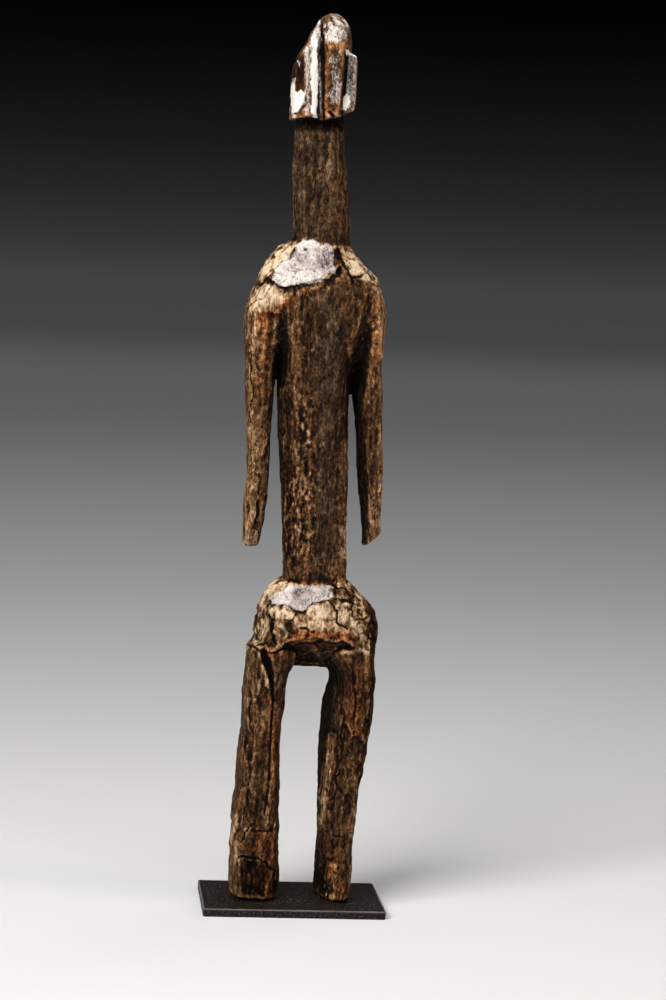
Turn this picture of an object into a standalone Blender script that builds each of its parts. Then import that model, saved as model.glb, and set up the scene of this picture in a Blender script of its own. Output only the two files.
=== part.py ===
# Carved wooden standing figure with a crested head, long neck and free-hanging arms,
# on a flat metal base plate. The seen side of the carving is its back, towards -Y;
# the figure faces +Y. The origin is the middle of the plate's underside.

import math
import random
from collections import namedtuple

import bmesh
import bpy
from mathutils import Vector

# Driving sizes, in metres.
FIGURE_HEIGHT = 0.8765
PLATE_WIDTH = 0.180
PLATE_DEPTH = 0.130
PLATE_THICKNESS = 0.008
PLATE_CORNER_RADIUS = 0.003
PLATE_EDGE_BEVEL = 0.0008
STANDING_GAP = 0.0003  # the soles stand this far clear of the plate

# Carving, as shares of the figure's height. One unit is a thousandth of it.
UNIT = FIGURE_HEIGHT / 1000
SOLE_LEVEL = PLATE_THICKNESS + STANDING_GAP
RING_STEP = 15.0  # usual distance between two rings of corners along a limb
RIDGE_HEIGHT = 0.028  # how far the long tool ridges stand out, as a share of the limb's half width
RIDGE_RUN = 55.0  # length along the limb over which a ridge fades into the next

# One cut across a limb: its height above the soles, its four extents seen from above, and how
# square it is (2 is an ellipse). Tilt raises its right end, arch its middle, and skew sets its
# rear over to the right and its front to the left.
Cut = namedtuple(
    "Cut", "height left right rear front square tilt arch skew", defaults=(2.4, 0.0, 0.0, 0.0)
)

TORSO = [
    Cut(345, -22, 51, -36, 35),
    Cut(400, -24, 49, -36, 34),
    Cut(443, -27, 47, -36, 34),
    Cut(488, -30, 46, -37, 35),
    Cut(534, -34, 44, -38, 36),
    Cut(578, -37, 43, -41, 38, 2.6),
    Cut(620, -37, 44, -46, 40, 2.8),
    Cut(660, -37, 46, -50, 42, 3.0),
    Cut(690, -36, 47, -51, 42, 3.0),
    Cut(712, -26, 40, -43, 38),
]

NECK = [
    Cut(725, -26, 38, -30, 30, 2.2, -2.0),
    Cut(744, -26, 38, -29, 29, 2.2, -2.0),
    Cut(758, -26, 37.5, -28, 28, 2.2),
    Cut(781, -27.5, 37, -28, 28, 2.2),
    Cut(803, -28.5, 35, -28, 28, 2.2),
    Cut(826, -29.5, 33, -27, 27, 2.2),
    Cut(848, -28.5, 29, -26, 26, 2.2),
    Cut(897, -28, 26, -25, 26, 2.2),
]

YOKE = [
    Cut(584, -46, 54, -5, 6, 2.6, -9.0),
    Cut(606, -56, 62, -24, 16, 2.8, -6.0),
    Cut(628, -66, 72, -41, 29, 3.0, -3.0),
    Cut(650, -74, 78, -49, 36, 3.1),
    Cut(668, -76, 80, -51.5, 40, 3.1),
    Cut(680, -74, 79, -52, 42, 3.0),
    Cut(691, -70, 76, -52, 43, 2.8, 0.0, 3.0),
    Cut(702, -64, 72, -49, 43, 2.6, 0.0, 2.0),
    Cut(714, -60, 64, -44, 41, 2.4, -1.0),
    Cut(725, -53, 54, -39, 37, 2.3, -2.0),
    Cut(736, -41, 43, -34, 33, 2.2, -3.0),
    Cut(743, -30, 41, -31.5, 31.5, 2.1, -3.0),
    Cut(748, -20, 31, -24, 24, 2.1, -3.0),
]

LEFT_ARM = [
    Cut(400, -67, -53, 0, 19, 2.6),
    Cut(404, -69.5, -50, -4, 22, 2.6),
    Cut(420, -69.5, -48, -10, 22, 2.8),
    Cut(452, -70, -44, -15, 20, 2.8),
    Cut(486, -68, -43, -19, 16, 2.8),
    Cut(532, -71, -43, -21, 14, 2.8),
    Cut(576, -73, -41, -25, 16, 2.8),
    Cut(611, -74, -40, -31, 20, 2.8),
    Cut(634, -76, -38, -37, 24, 2.8),
    Cut(657, -77, -34, -43, 29, 2.6),
    Cut(680, -73, -26, -43, 31, 2.4),
    Cut(698, -62, -22, -36, 28, 2.4),
]

RIGHT_ARM = [
    Cut(411, 66, 88, -2, 22, 3.6, 8.0, 0.0, 0.2),
    Cut(428, 65, 88, -8, 22, 3.2, 3.0, 0.0, 0.25),
    Cut(445, 62, 88, -12, 22, 3.0, 0.0, 0.0, 0.3),
    Cut(468, 58, 89, -15, 20, 3.0, 0.0, 0.0, 0.35),
    Cut(491, 55, 89, -18, 19, 3.0, 0.0, 0.0, 0.35),
    Cut(536, 51, 86, -21, 18, 3.0, 0.0, 0.0, 0.35),
    Cut(580, 44, 84, -26, 20, 3.0, 0.0, 0.0, 0.35),
    Cut(611, 41, 81, -32, 23, 3.0, 0.0, 0.0, 0.3),
    Cut(645, 38, 83, -40, 28, 2.8, 0.0, 0.0, 0.2),
    Cut(668, 32, 82, -43, 31, 2.6, 0.0, 0.0, 0.1),
    Cut(684, 26, 79, -43, 32, 2.4),
    Cut(700, 24, 68, -36, 30, 2.4),
]

PELVIS = [
    Cut(262, -30, 50, 10, 44, 2.8, 0.0, 1.0),
    Cut(266, -42, 64, -8, 48, 2.8, 0.0, 8.0),
    Cut(270, -50, 75, -32, 51, 2.9, 0.0, 18.0),
    Cut(274, -53, 82, -50, 53, 3.0, 0.0, 27.0),
    Cut(279, -54, 84, -55, 54, 3.0, 0.0, 26.0),
    Cut(300, -53, 86, -57, 56, 2.8, 0.0, 12.0),
    Cut(318, -51, 86, -56, 55, 2.6, 0.0, 4.0),
    Cut(331, -49, 83, -52, 51, 2.5),
    Cut(341, -46, 76, -48, 47, 2.4),
    Cut(352, -40, 64, -43, 42, 2.3),
    Cut(362, -29, 55, -39, 38, 2.2),
    Cut(367, -16, 44, -30, 30, 2.2),
]

LEFT_LEG = [
    Cut(0, -68.5, -16.5, -36.5, 45.5, 3.0),
    Cut(4, -69, -16, -37, 46, 3.0),
    Cut(20, -71, -15, -36, 45, 3.0),
    Cut(36, -71, -15, -36, 40, 3.0),
    Cut(52, -72, -16, -37, 34, 3.0),
    Cut(75, -71, -17, -37, 33, 2.8),
    Cut(98, -70, -18, -38, 33, 2.8),
    Cut(121, -67, -18, -37, 35, 2.8),
    Cut(167, -66, -19, -34, 42, 2.8),
    Cut(190, -63, -19, -35, 43, 2.8),
    Cut(213, -63, -17, -39, 43, 2.8),
    Cut(235, -64, -15, -43, 44, 2.8),
    Cut(256, -63, -13, -49, 46, 2.8),
    Cut(263, -62, -10.5, -50, 47, 2.8),
    Cut(268, -62, -6, -50, 47, 2.8),
    Cut(283, -61, -6, -52, 47, 2.8),
    Cut(291, -58, -8, -50, 45, 2.8),
    Cut(302, -50, -8, -38, 42, 2.8),
]

RIGHT_LEG = [
    Cut(0, 24.5, 69.5, -37.5, 45.5, 3.0, 0.0, 0.0, 0.25),
    Cut(4, 24, 70, -38, 46, 3.0, 0.0, 0.0, 0.25),
    Cut(20, 25, 70, -37, 45, 3.0, 0.0, 0.0, 0.25),
    Cut(36, 25, 70, -36, 40, 3.0, 0.0, 0.0, 0.25),
    Cut(53, 25, 70, -36, 34, 3.0, 0.0, 0.0, 0.25),
    Cut(77, 25, 72, -36, 33, 2.8, 0.0, 0.0, 0.27),
    Cut(100, 24, 74, -37, 33, 2.8, 0.0, 0.0, 0.28),
    Cut(123, 24, 75, -36, 35, 2.8, 0.0, 0.0, 0.3),
    Cut(147, 23, 80, -35, 39, 2.8, 0.0, 0.0, 0.3),
    Cut(169, 23, 84, -34, 42, 2.8, 0.0, 0.0, 0.32),
    Cut(192, 23, 86.5, -35, 43, 2.8, 0.0, 0.0, 0.34),
    Cut(215, 23, 89, -39, 43, 2.8, 0.0, 0.0, 0.38),
    Cut(235, 26, 90, -43, 44, 2.8, 0.0, 0.0, 0.4),
    Cut(256, 31, 90, -49, 46, 2.8, 0.0, 0.0, 0.42),
    Cut(263, 29, 90, -51, 47, 2.8, 0.0, 0.0, 0.42),
    Cut(268, 22, 89.5, -52, 47, 2.8, 0.0, 0.0, 0.4),
    Cut(283, 20, 88.5, -52, 47, 2.8, 0.0, 0.0, 0.32),
    Cut(297, 20, 87, -50, 45, 2.8, 0.0, 0.0, 0.25),
    Cut(310, 22, 84, -40, 42, 2.8, 0.0, 0.0, 0.2),
]

SKULL = [
    Cut(880, -22, 24, -18, 30, 2.6),
    Cut(889, -24, 26, -20, 36, 2.6),
    Cut(897, -24, 26, -20, 39, 2.6),
    Cut(908, -23, 25, -20, 37, 2.6),
    Cut(930, -22, 26, -20, 36, 2.6),
    Cut(943, -19, 27, -22, 40, 2.6),
    Cut(950, -17, 28, -24, 39, 2.6),
    Cut(966, -10, 28, -26, 36, 2.4),
    Cut(980, -2, 22, -20, 26, 2.2),
]

CREST = [
    Cut(882, -4, 20, -45, 0, 5.0, 3.0),
    Cut(886, -4, 20, -47, 0, 5.0, 2.0),
    Cut(910, -4, 21, -48, 0, 5.0),
    Cut(940, -3, 23, -49, 0, 5.0),
    Cut(956, -3, 25, -49, 0, 4.0),
    Cut(966, -2, 25, -46, 0, 4.0),
]

DOME = [
    Cut(946, -1, 26, -42, 36, 2.8),
    Cut(954, -5, 29, -48, 42, 2.8),
    Cut(966, -11, 30.5, -51, 45, 2.7),
    Cut(978, -11, 29.5, -50, 44, 2.5),
    Cut(987, -9, 27, -45, 41, 2.4),
    Cut(993, -6, 23, -37, 36, 2.3),
    Cut(998, 0, 18, -24, 24, 2.2),
    Cut(1000, 5, 14, -12, 12, 2.0),
]

# Side flaps of the hairdress, each cut from a plan seen from above, as (x, y), and an outline
# seen from behind, as (x, height).
FLAP_SPARE = 5  # how far a flap's plan and outline overrun each other before they are trimmed
LEFT_FLAP_PLAN = [
    (-3, -27),
    (-8, -37),
    (-21, -39),
    (-32, -16),
    (-33, 26),
    (-28, 33),
    (-16, 24),
    (0, 0),
]
LEFT_FLAP_OUTLINE = [
    (-33, 882),
    (-34, 926),
    (-31, 943),
    (-26, 955),
    (-19, 967),
    (-14, 978),
    (-8, 987),
    (6, 990),
    (6, 884),
]
RIGHT_FLAP_PLAN = [(23, -24), (24, -34), (35, -33), (37, -20), (39, 24), (33, 31), (22, 24), (18, 0)]
RIGHT_FLAP_OUTLINE = [(22, 956), (33, 954), (40, 948), (38, 905), (34, 892), (22, 889)]

# Notches over the heels: the height of the lip that overhangs, how high the cut runs above it and
# below it, how deep it is, where it starts and ends across the leg, and how far it leans.
HEEL_REAR = -37
NOTCH_SPARE = 20  # how far a notch's cutter stands out behind the heel
Notch = namedtuple("Notch", "lip above below depth low high lean")
HEEL_NOTCHES = [
    Notch(80, 10, 3, 3, -60, -6, 3.0),
    Notch(47, 1, 38, 5, -55, -8, 14.0),
    Notch(76, 4, 10, 3, 24, 80, -4.0),
    Notch(52, 4, 10, 3, 12, 58, 5.0),
]

# Long drying cracks: height of the lower and upper end, place of each across, how near the front
# the root lies, and how fast each side of the crack opens towards the rear.
CRACK_MOUTH = 25  # from a crack's root to the mouth of its wedge
CRACK_TAPER = 0.125  # the share of its length that the root is short of at each end
Crack = namedtuple("Crack", "low high low_x high_x root flare")
CRACKS = [
    Crack(106, 272, -42, -46, -29, 0.2),
    Crack(444, 480, -16, -16, -27, 0.17),
    Crack(408, 505, -60, -56, -8, 0.12),
]


def clear_scene():
    for thing in list(bpy.data.objects):
        bpy.data.objects.remove(thing)


def level(share):
    """Height in the part's frame of a share measured up from the soles."""
    return SOLE_LEVEL + share * UNIT


def steepness(here, before, after):
    """Slope for a curve through three values that never overshoots them."""
    if before * after <= 0:
        return 0.0
    return 2 * before * after / (before + after)


def between(cuts, index, part):
    """The cut a part of the way from one stated cut to the next, on a smooth curve."""
    low, high = cuts[index], cuts[index + 1]
    run = high.height - low.height
    values = []
    for field in range(1, len(Cut._fields)):
        step = (high[field] - low[field]) / run
        before = step
        after = step
        if index > 0:
            prior = cuts[index - 1]
            before = (low[field] - prior[field]) / (low.height - prior.height)
        if index + 2 < len(cuts):
            later = cuts[index + 2]
            after = (later[field] - high[field]) / (later.height - high.height)
        start = steepness(low[field], before, step) * run
        end = steepness(high[field], step, after) * run
        values.append(
            (2 * part**3 - 3 * part**2 + 1) * low[field]
            + (part**3 - 2 * part**2 + part) * start
            + (3 * part**2 - 2 * part**3) * high[field]
            + (part**3 - part**2) * end
        )
    return Cut(low.height + run * part, *values)


def all_cuts(cuts):
    """The stated cuts, with more between them wherever they are far apart."""
    rings = []
    for index in range(len(cuts) - 1):
        count = max(1, round((cuts[index + 1].height - cuts[index].height) / RING_STEP))
        for step in range(count):
            rings.append(between(cuts, index, step / count))
    rings.append(cuts[-1])
    return rings


def power(value, square):
    return math.copysign(abs(value) ** (2 / square), value)


def ring_points(cut, sides, ridges):
    """Corners of one cut, going round from the right. Each ridge fades and swells up the limb."""
    middle_x = (cut.left + cut.right) / 2
    middle_y = (cut.rear + cut.front) / 2
    half_x = (cut.right - cut.left) / 2
    half_y = (cut.front - cut.rear) / 2
    points = []
    for index in range(sides):
        angle = 2 * math.pi * (index + 0.5) / sides
        across = power(math.cos(angle), cut.square)
        along = power(math.sin(angle), cut.square)
        swell, phase = ridges[index]
        ridge = 1 + RIDGE_HEIGHT * swell * math.sin(cut.height / RIDGE_RUN + phase)
        shifted = across * (1 - abs(cut.skew)) - along * cut.skew
        x = middle_x + half_x * shifted * ridge
        y = middle_y + half_y * along * ridge
        z = cut.height + cut.tilt * across + cut.arch * (1 - across * across)
        points.append(Vector((x * UNIT, y * UNIT, level(z))))
    return points


def limb(name, cuts, sides, seed):
    """A closed solid through a stack of cuts."""
    chance = random.Random(seed)
    ridges = [(chance.uniform(0.3, 1.0), chance.uniform(0, 2 * math.pi)) for _ in range(sides)]
    mesh = bmesh.new()
    rings = []
    for cut in all_cuts(cuts):
        rings.append([mesh.verts.new(point) for point in ring_points(cut, sides, ridges)])
    for low, high in zip(rings, rings[1:]):
        for index in range(sides):
            following = (index + 1) % sides
            mesh.faces.new((low[index], low[following], high[following], high[index]))
    mesh.faces.new(list(reversed(rings[0])))
    mesh.faces.new(rings[-1])
    return finish(name, mesh)


def finish(name, mesh):
    """Makes an object of a bmesh and puts it in the scene."""
    bmesh.ops.triangulate(mesh, faces=mesh.faces)
    bmesh.ops.recalc_face_normals(mesh, faces=mesh.faces)
    data = bpy.data.meshes.new(name)
    mesh.to_mesh(data)
    mesh.free()
    thing = bpy.data.objects.new(name, data)
    bpy.context.scene.collection.objects.link(thing)
    return thing


def prism(name, outline, travel):
    """A flat outline of corners, drawn out by a travel. All in shares, heights above the soles."""
    mesh = bmesh.new()
    corners = [mesh.verts.new((x * UNIT, y * UNIT, level(z))) for x, y, z in outline]
    face = mesh.faces.new(corners)
    drawn = bmesh.ops.extrude_face_region(mesh, geom=[face])
    moved = [item for item in drawn["geom"] if isinstance(item, bmesh.types.BMVert)]
    bmesh.ops.translate(mesh, verts=moved, vec=Vector(travel) * UNIT)
    return finish(name, mesh)


def guide(piece):
    piece.hide_render = True
    piece.display_type = "WIRE"


def combine(base, piece, operation):
    """Joins a piece to the base, cuts it away or keeps what both share, and makes it a guide."""
    modifier = base.modifiers.new(f"{operation.lower()}_{piece.name}", "BOOLEAN")
    modifier.operation = operation
    modifier.solver = "EXACT"
    modifier.object = piece
    guide(piece)


def flap(name, plan, outline):
    """A side flap of the hairdress: its plan drawn upwards, kept within its outline from behind."""
    heights = [z for _, z in outline]
    base = min(heights) - FLAP_SPARE
    rise = max(heights) + FLAP_SPARE - base
    piece = prism(name, [(x, y, base) for x, y in plan], (0, 0, rise))
    depths = [y for _, y in plan]
    rear = min(depths) - FLAP_SPARE
    reach = max(depths) + FLAP_SPARE - rear
    trim = prism(name + "_outline", [(x, rear, z) for x, z in outline], (0, reach, 0))
    combine(piece, trim, "INTERSECT")
    return piece


def face_pieces():
    """A calm, plain face between the flaps: nose, closed eyes and a small mouth."""
    middle = 2.0
    nose = [(37, 945), (46, 914), (42, 910), (30, 910), (30, 945)]
    mouth = [(34, 904), (40.5, 902), (40.5, 900.5), (34, 898)]
    eye = [(33, 936), (39, 934), (39, 932), (33, 929)]
    features = [
        ("nose", nose, -3.2, 3.2),
        ("mouth", mouth, -7, 7),
        ("left_eye", eye, -15, -6),
        ("right_eye", eye, 6, 15),
    ]
    pieces = []
    for name, outline, low, high in features:
        corners = [(middle + low, y, z) for y, z in outline]
        pieces.append(prism(name, corners, (high - low, 0, 0)))
    return pieces


def head_pieces():
    pieces = [
        limb("skull", SKULL, 16, 21),
        limb("crest", CREST, 12, 22),
        limb("dome", DOME, 18, 23),
        flap("left_flap", LEFT_FLAP_PLAN, LEFT_FLAP_OUTLINE),
        flap("right_flap", RIGHT_FLAP_PLAN, RIGHT_FLAP_OUTLINE),
    ]
    return pieces + face_pieces()


def heel_notches():
    """Wedges that cut the notches over the heels into the rear of the legs."""
    cutters = []
    for number, notch in enumerate(HEEL_NOTCHES):
        clear = HEEL_REAR - NOTCH_SPARE
        profile = [
            (clear, notch.lip + notch.above * 2),
            (HEEL_REAR, notch.lip + notch.above),
            (HEEL_REAR + notch.depth, notch.lip),
            (HEEL_REAR, notch.lip - notch.below),
            (clear, notch.lip - notch.below),
        ]
        slope = math.tan(math.radians(notch.lean))
        corners = [(notch.low, y, z) for y, z in profile]
        across = notch.high - notch.low
        cutters.append(prism(f"heel_notch_{number}", corners, (across, 0, -slope * across)))
    return cutters


def crack_wedges():
    """Thin wedges, widest half way up and at the rear, that open the long cracks."""
    cutters = []
    for number, crack in enumerate(CRACKS):
        mesh = bmesh.new()
        middle = (crack.low + crack.high) / 2
        middle_x = (crack.low_x + crack.high_x) / 2
        half = crack.flare * CRACK_MOUTH
        rear = crack.root - CRACK_MOUTH
        inner = (crack.high - crack.low) * CRACK_TAPER
        places = [
            (crack.low_x, rear, crack.low),
            (middle_x + half, rear, middle),
            (crack.high_x, rear, crack.high),
            (middle_x - half, rear, middle),
            (crack.low_x, crack.root, crack.low + inner),
            (crack.high_x, crack.root, crack.high - inner),
        ]
        corners = [mesh.verts.new((x * UNIT, y * UNIT, level(z))) for x, y, z in places]
        low, right, high, left, root_low, root_high = corners
        for face in (
            (low, right, high, left),
            (low, right, root_low),
            (left, low, root_low),
            (right, high, root_high),
            (high, left, root_high),
            (right, root_high, root_low),
            (left, root_low, root_high),
        ):
            mesh.faces.new(face)
        cutters.append(finish(f"crack_{number}", mesh))
    return cutters


def material(name, colour, roughness, metallic=0.0):
    made = bpy.data.materials.new(name)
    made.use_nodes = True
    shader = made.node_tree.nodes["Principled BSDF"]
    shader.inputs["Base Color"].default_value = (*colour, 1)
    shader.inputs["Roughness"].default_value = roughness
    shader.inputs["Metallic"].default_value = metallic
    return made


def carve_figure():
    figure = limb("figure", TORSO, 20, 11)
    joined = [
        limb("neck", NECK, 18, 12),
        limb("yoke", YOKE, 28, 13),
        limb("left_arm", LEFT_ARM, 14, 14),
        limb("right_arm", RIGHT_ARM, 14, 15),
        limb("pelvis", PELVIS, 30, 16),
        limb("left_leg", LEFT_LEG, 16, 17),
        limb("right_leg", RIGHT_LEG, 16, 18),
    ]
    for piece in joined + head_pieces():
        combine(figure, piece, "UNION")
    for cutter in heel_notches() + crack_wedges():
        combine(figure, cutter, "DIFFERENCE")
    figure.data.materials.append(material("carved_wood", (0.09, 0.055, 0.032), 0.7))
    return figure


def make_plate():
    mesh = bmesh.new()
    bmesh.ops.create_cube(mesh, size=1)
    size = (PLATE_WIDTH, PLATE_DEPTH, PLATE_THICKNESS)
    bmesh.ops.scale(mesh, verts=mesh.verts, vec=size)
    bmesh.ops.translate(mesh, verts=mesh.verts, vec=(0, 0, PLATE_THICKNESS / 2))
    upright = [edge for edge in mesh.edges if edge.verts[0].co.z != edge.verts[1].co.z]
    bmesh.ops.bevel(
        mesh, geom=upright, offset=PLATE_CORNER_RADIUS, segments=4, profile=0.5, affect="EDGES"
    )
    plate = finish("base_plate", mesh)
    edge = plate.modifiers.new("worn_edge", "BEVEL")
    edge.width = PLATE_EDGE_BEVEL
    edge.segments = 2
    edge.limit_method = "ANGLE"
    edge.angle_limit = math.radians(60)
    plate.data.materials.append(material("blackened_steel", (0.02, 0.02, 0.021), 0.45, 0.6))
    return plate


def main():
    clear_scene()
    make_plate()
    carve_figure()


main()
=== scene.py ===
import math
import random

import bpy
import numpy as np
from mathutils import Matrix, Vector
from mathutils.bvhtree import BVHTree


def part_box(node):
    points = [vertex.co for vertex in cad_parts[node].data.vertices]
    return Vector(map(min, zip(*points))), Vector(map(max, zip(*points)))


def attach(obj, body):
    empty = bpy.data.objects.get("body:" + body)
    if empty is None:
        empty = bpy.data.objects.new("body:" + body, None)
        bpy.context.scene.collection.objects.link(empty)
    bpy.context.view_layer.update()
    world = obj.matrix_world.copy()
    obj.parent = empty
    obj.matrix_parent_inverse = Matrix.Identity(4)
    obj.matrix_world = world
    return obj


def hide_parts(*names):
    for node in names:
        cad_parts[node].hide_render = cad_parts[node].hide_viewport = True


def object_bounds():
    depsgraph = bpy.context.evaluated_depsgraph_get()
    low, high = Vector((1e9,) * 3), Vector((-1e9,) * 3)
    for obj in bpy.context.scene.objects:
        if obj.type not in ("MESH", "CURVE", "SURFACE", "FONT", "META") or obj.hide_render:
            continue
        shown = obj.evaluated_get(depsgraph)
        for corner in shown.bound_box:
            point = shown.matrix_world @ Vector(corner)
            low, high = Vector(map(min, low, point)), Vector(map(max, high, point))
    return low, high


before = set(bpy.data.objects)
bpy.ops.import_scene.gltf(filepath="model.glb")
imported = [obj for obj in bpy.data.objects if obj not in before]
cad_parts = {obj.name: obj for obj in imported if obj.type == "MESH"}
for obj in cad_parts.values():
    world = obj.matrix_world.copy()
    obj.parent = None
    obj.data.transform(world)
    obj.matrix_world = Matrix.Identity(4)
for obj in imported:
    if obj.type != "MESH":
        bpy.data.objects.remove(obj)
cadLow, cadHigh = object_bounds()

# Standing figure carved from one log, seen from behind, on its blackened steel plate.
# The frame is in metres. Sizes on the picture are in pixels, and sizes of the carving in millimetres
# where their note says so.

scene = bpy.context.scene


def hexColour(text, alpha=1.0):
    # sRGB hex to the linear values that sockets take
    parts = [int(text[i:i + 2], 16) / 255 for i in (1, 3, 5)]
    linear = [c / 12.92 if c <= 0.04045 else ((c + 0.055) / 1.055) ** 2.4 for c in parts]
    return (*linear, alpha)


def addNode(tree, kind, inputs=None, stops=None, **settings):
    # one node, its settings, its values or links by socket, and the stops of a ramp; a node given as
    # a value is linked by its first output
    made = tree.nodes.new(kind)
    for name, value in settings.items():
        setattr(made, name, value)
    for socket, value in (inputs or {}).items():
        if isinstance(value, bpy.types.Node):
            value = value.outputs[0]
        if isinstance(value, bpy.types.NodeSocket):
            tree.links.new(value, made.inputs[socket])
        else:
            made.inputs[socket].default_value = value
    if stops:
        elements = made.color_ramp.elements
        elements.remove(elements[1])
        elements[0].position = stops[0][0]
        for index, (place, colour) in enumerate(stops):
            element = elements.new(place) if index else elements[0]
            element.color = hexColour(colour) if isinstance(colour, str) else (colour,) * 3 + (1,)
    return made


def perMm(across, deep, along):
    # mapping scale that gives a pattern features of these sizes in millimetres
    return (1000 / across, 1000 / deep, 1000 / along)


def deselectAll():
    if bpy.context.object and bpy.context.object.mode != "OBJECT":
        bpy.ops.object.mode_set(mode="OBJECT")
    bpy.ops.object.select_all(action="DESELECT")


def makeActive(piece):
    deselectAll()
    piece.select_set(True)
    bpy.context.view_layer.objects.active = piece


def applyModifier(piece, kind, **settings):
    makeActive(piece)
    modifier = piece.modifiers.new(kind.lower(), kind)
    for name, value in settings.items():
        setattr(modifier, name, value)
    bpy.ops.object.modifier_apply(modifier=modifier.name)


# Camera: fitted to the plate's corners and the figure's edges.
cameraSetup = {
    "place": (-0.228, -2.721, 0.619),
    "pitchDown": 4.42,  # degrees, as are yaw and roll
    "yaw": -5.36,
    "roll": 2.29,
    "focalPixels": 2757,  # focal length in pixels of the picture
    "frame": (666, 1000),  # the picture, in pixels
    "sensor": 36,
    "clipEnd": 120,
}


def cameraAxes():
    pitch, yaw, roll = (math.radians(cameraSetup[k]) for k in ("pitchDown", "yaw", "roll"))
    forward = Vector((
        -math.sin(yaw) * math.cos(pitch), math.cos(yaw) * math.cos(pitch), -math.sin(pitch)
    ))
    right = Vector((math.cos(yaw), math.sin(yaw), 0))
    up = right.cross(forward)
    turnedRight = math.cos(roll) * right + math.sin(roll) * up
    turnedUp = math.cos(roll) * up - math.sin(roll) * right
    return turnedRight, turnedUp, forward


def makeCamera():
    right, up, forward = cameraAxes()
    matrix = Matrix((right, up, -forward)).transposed().to_4x4()
    matrix.translation = Vector(cameraSetup["place"])
    bpy.ops.object.camera_add()
    camera = bpy.context.object
    camera.name = "photoCamera"
    camera.matrix_world = matrix
    camera.data.sensor_width = cameraSetup["sensor"]
    camera.data.lens = cameraSetup["focalPixels"] / max(cameraSetup["frame"]) * cameraSetup["sensor"]
    camera.data.clip_end = cameraSetup["clipEnd"]
    scene.camera = camera


# Light: a big soft key from the upper left, a warm strip from the right, two weak fills from above
# and behind, and two wide lamps over the paper, near and far.
lampSetup = {
    "keySoftbox": {
        "place": (-1.6, -2.0, 2.2), "aim": (0, 0, 0.5), "size": (1.8, 1.8),
        "power": 130, "colour": "#fff7ed",
    },
    "rightStrip": {
        "place": (2.0, -0.9, 1.3), "aim": (0, 0, 0.5), "size": (0.3, 1.2),
        "power": 13, "colour": "#ffe2c8",
    },
    "topSoftbox": {
        "place": (0.1, -0.5, 2.3), "aim": (0, 0, 0.4), "size": (0.7, 0.7),
        "power": 14, "colour": "#ffffff",
    },
    "farFill": {
        "place": (1.5, 1.5, 2.3), "aim": (0, 0, 0.55), "size": (0.8, 0.8),
        "power": 6, "colour": "#eef2ff",
    },
    "farWash": {
        "place": (2.5, 14.5, 7.5), "aim": (2.5, 14.5, 0), "size": (20, 12),
        "power": 79, "colour": "#fffaf4",
    },
    "floorWash": {
        "place": (1.1, 3.6, 4.2), "aim": (1.1, 3.6, 0), "size": (8, 5),
        "power": 42, "colour": "#fffcf8",
    },
}


def makeLights():
    for name, lamp in lampSetup.items():
        bpy.ops.object.light_add(type="AREA", location=lamp["place"])
        light = bpy.context.object
        light.name = name
        light.data.shape = "RECTANGLE"
        light.data.size, light.data.size_y = lamp["size"]
        light.data.energy = lamp["power"]
        light.data.color = hexColour(lamp["colour"])[:3]
        way = Vector(lamp["aim"]) - Vector(lamp["place"])
        light.rotation_euler = way.to_track_quat("-Z", "Y").to_euler()


# The studio's walls by the height of the view: grey at the horizon, black above it, and a dim
# ceiling light that brings the far floor to the same grey as the wall behind it.
skyStops = [
    (0.0, "#424243"), (0.0134, "#343435"), (0.0316, "#262627"), (0.0497, "#1a1a1b"), (0.068, "#101011"),
    (0.086, "#070707"), (0.105, "#010101"), (0.5, "#070707"), (0.78, "#0a0a0a"), (0.86, "#888683"),
]


def makeWalls():
    world = bpy.data.worlds.new("studioDark")
    scene.world = world
    world.use_nodes = True
    tree = world.node_tree
    way = addNode(tree, "ShaderNodeTexCoord").outputs["Generated"]
    height = addNode(tree, "ShaderNodeSeparateXYZ", {0: way}).outputs["Z"]
    shade = addNode(tree, "ShaderNodeValToRGB", {"Fac": height}, skyStops)
    tree.links.new(shade.outputs["Color"], tree.nodes["Background"].inputs["Color"])


floorSetup = {"size": 90.0, "centre": (0, 20, 0), "colour": "#dbdfe5", "roughness": 0.9}


def makeFloor():
    deselectAll()
    bpy.ops.mesh.primitive_plane_add(size=floorSetup["size"], location=floorSetup["centre"])
    floor = bpy.context.object
    floor.name = "studioFloor"
    bpy.ops.object.transform_apply(location=True, rotation=False, scale=False)
    paper = bpy.data.materials.new("mattPaperSweep")
    paper.use_nodes = True
    shader = paper.node_tree.nodes["Principled BSDF"]
    shader.inputs["Base Color"].default_value = hexColour(floorSetup["colour"])
    shader.inputs["Roughness"].default_value = floorSetup["roughness"]
    floor.data.materials.append(paper)
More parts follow.
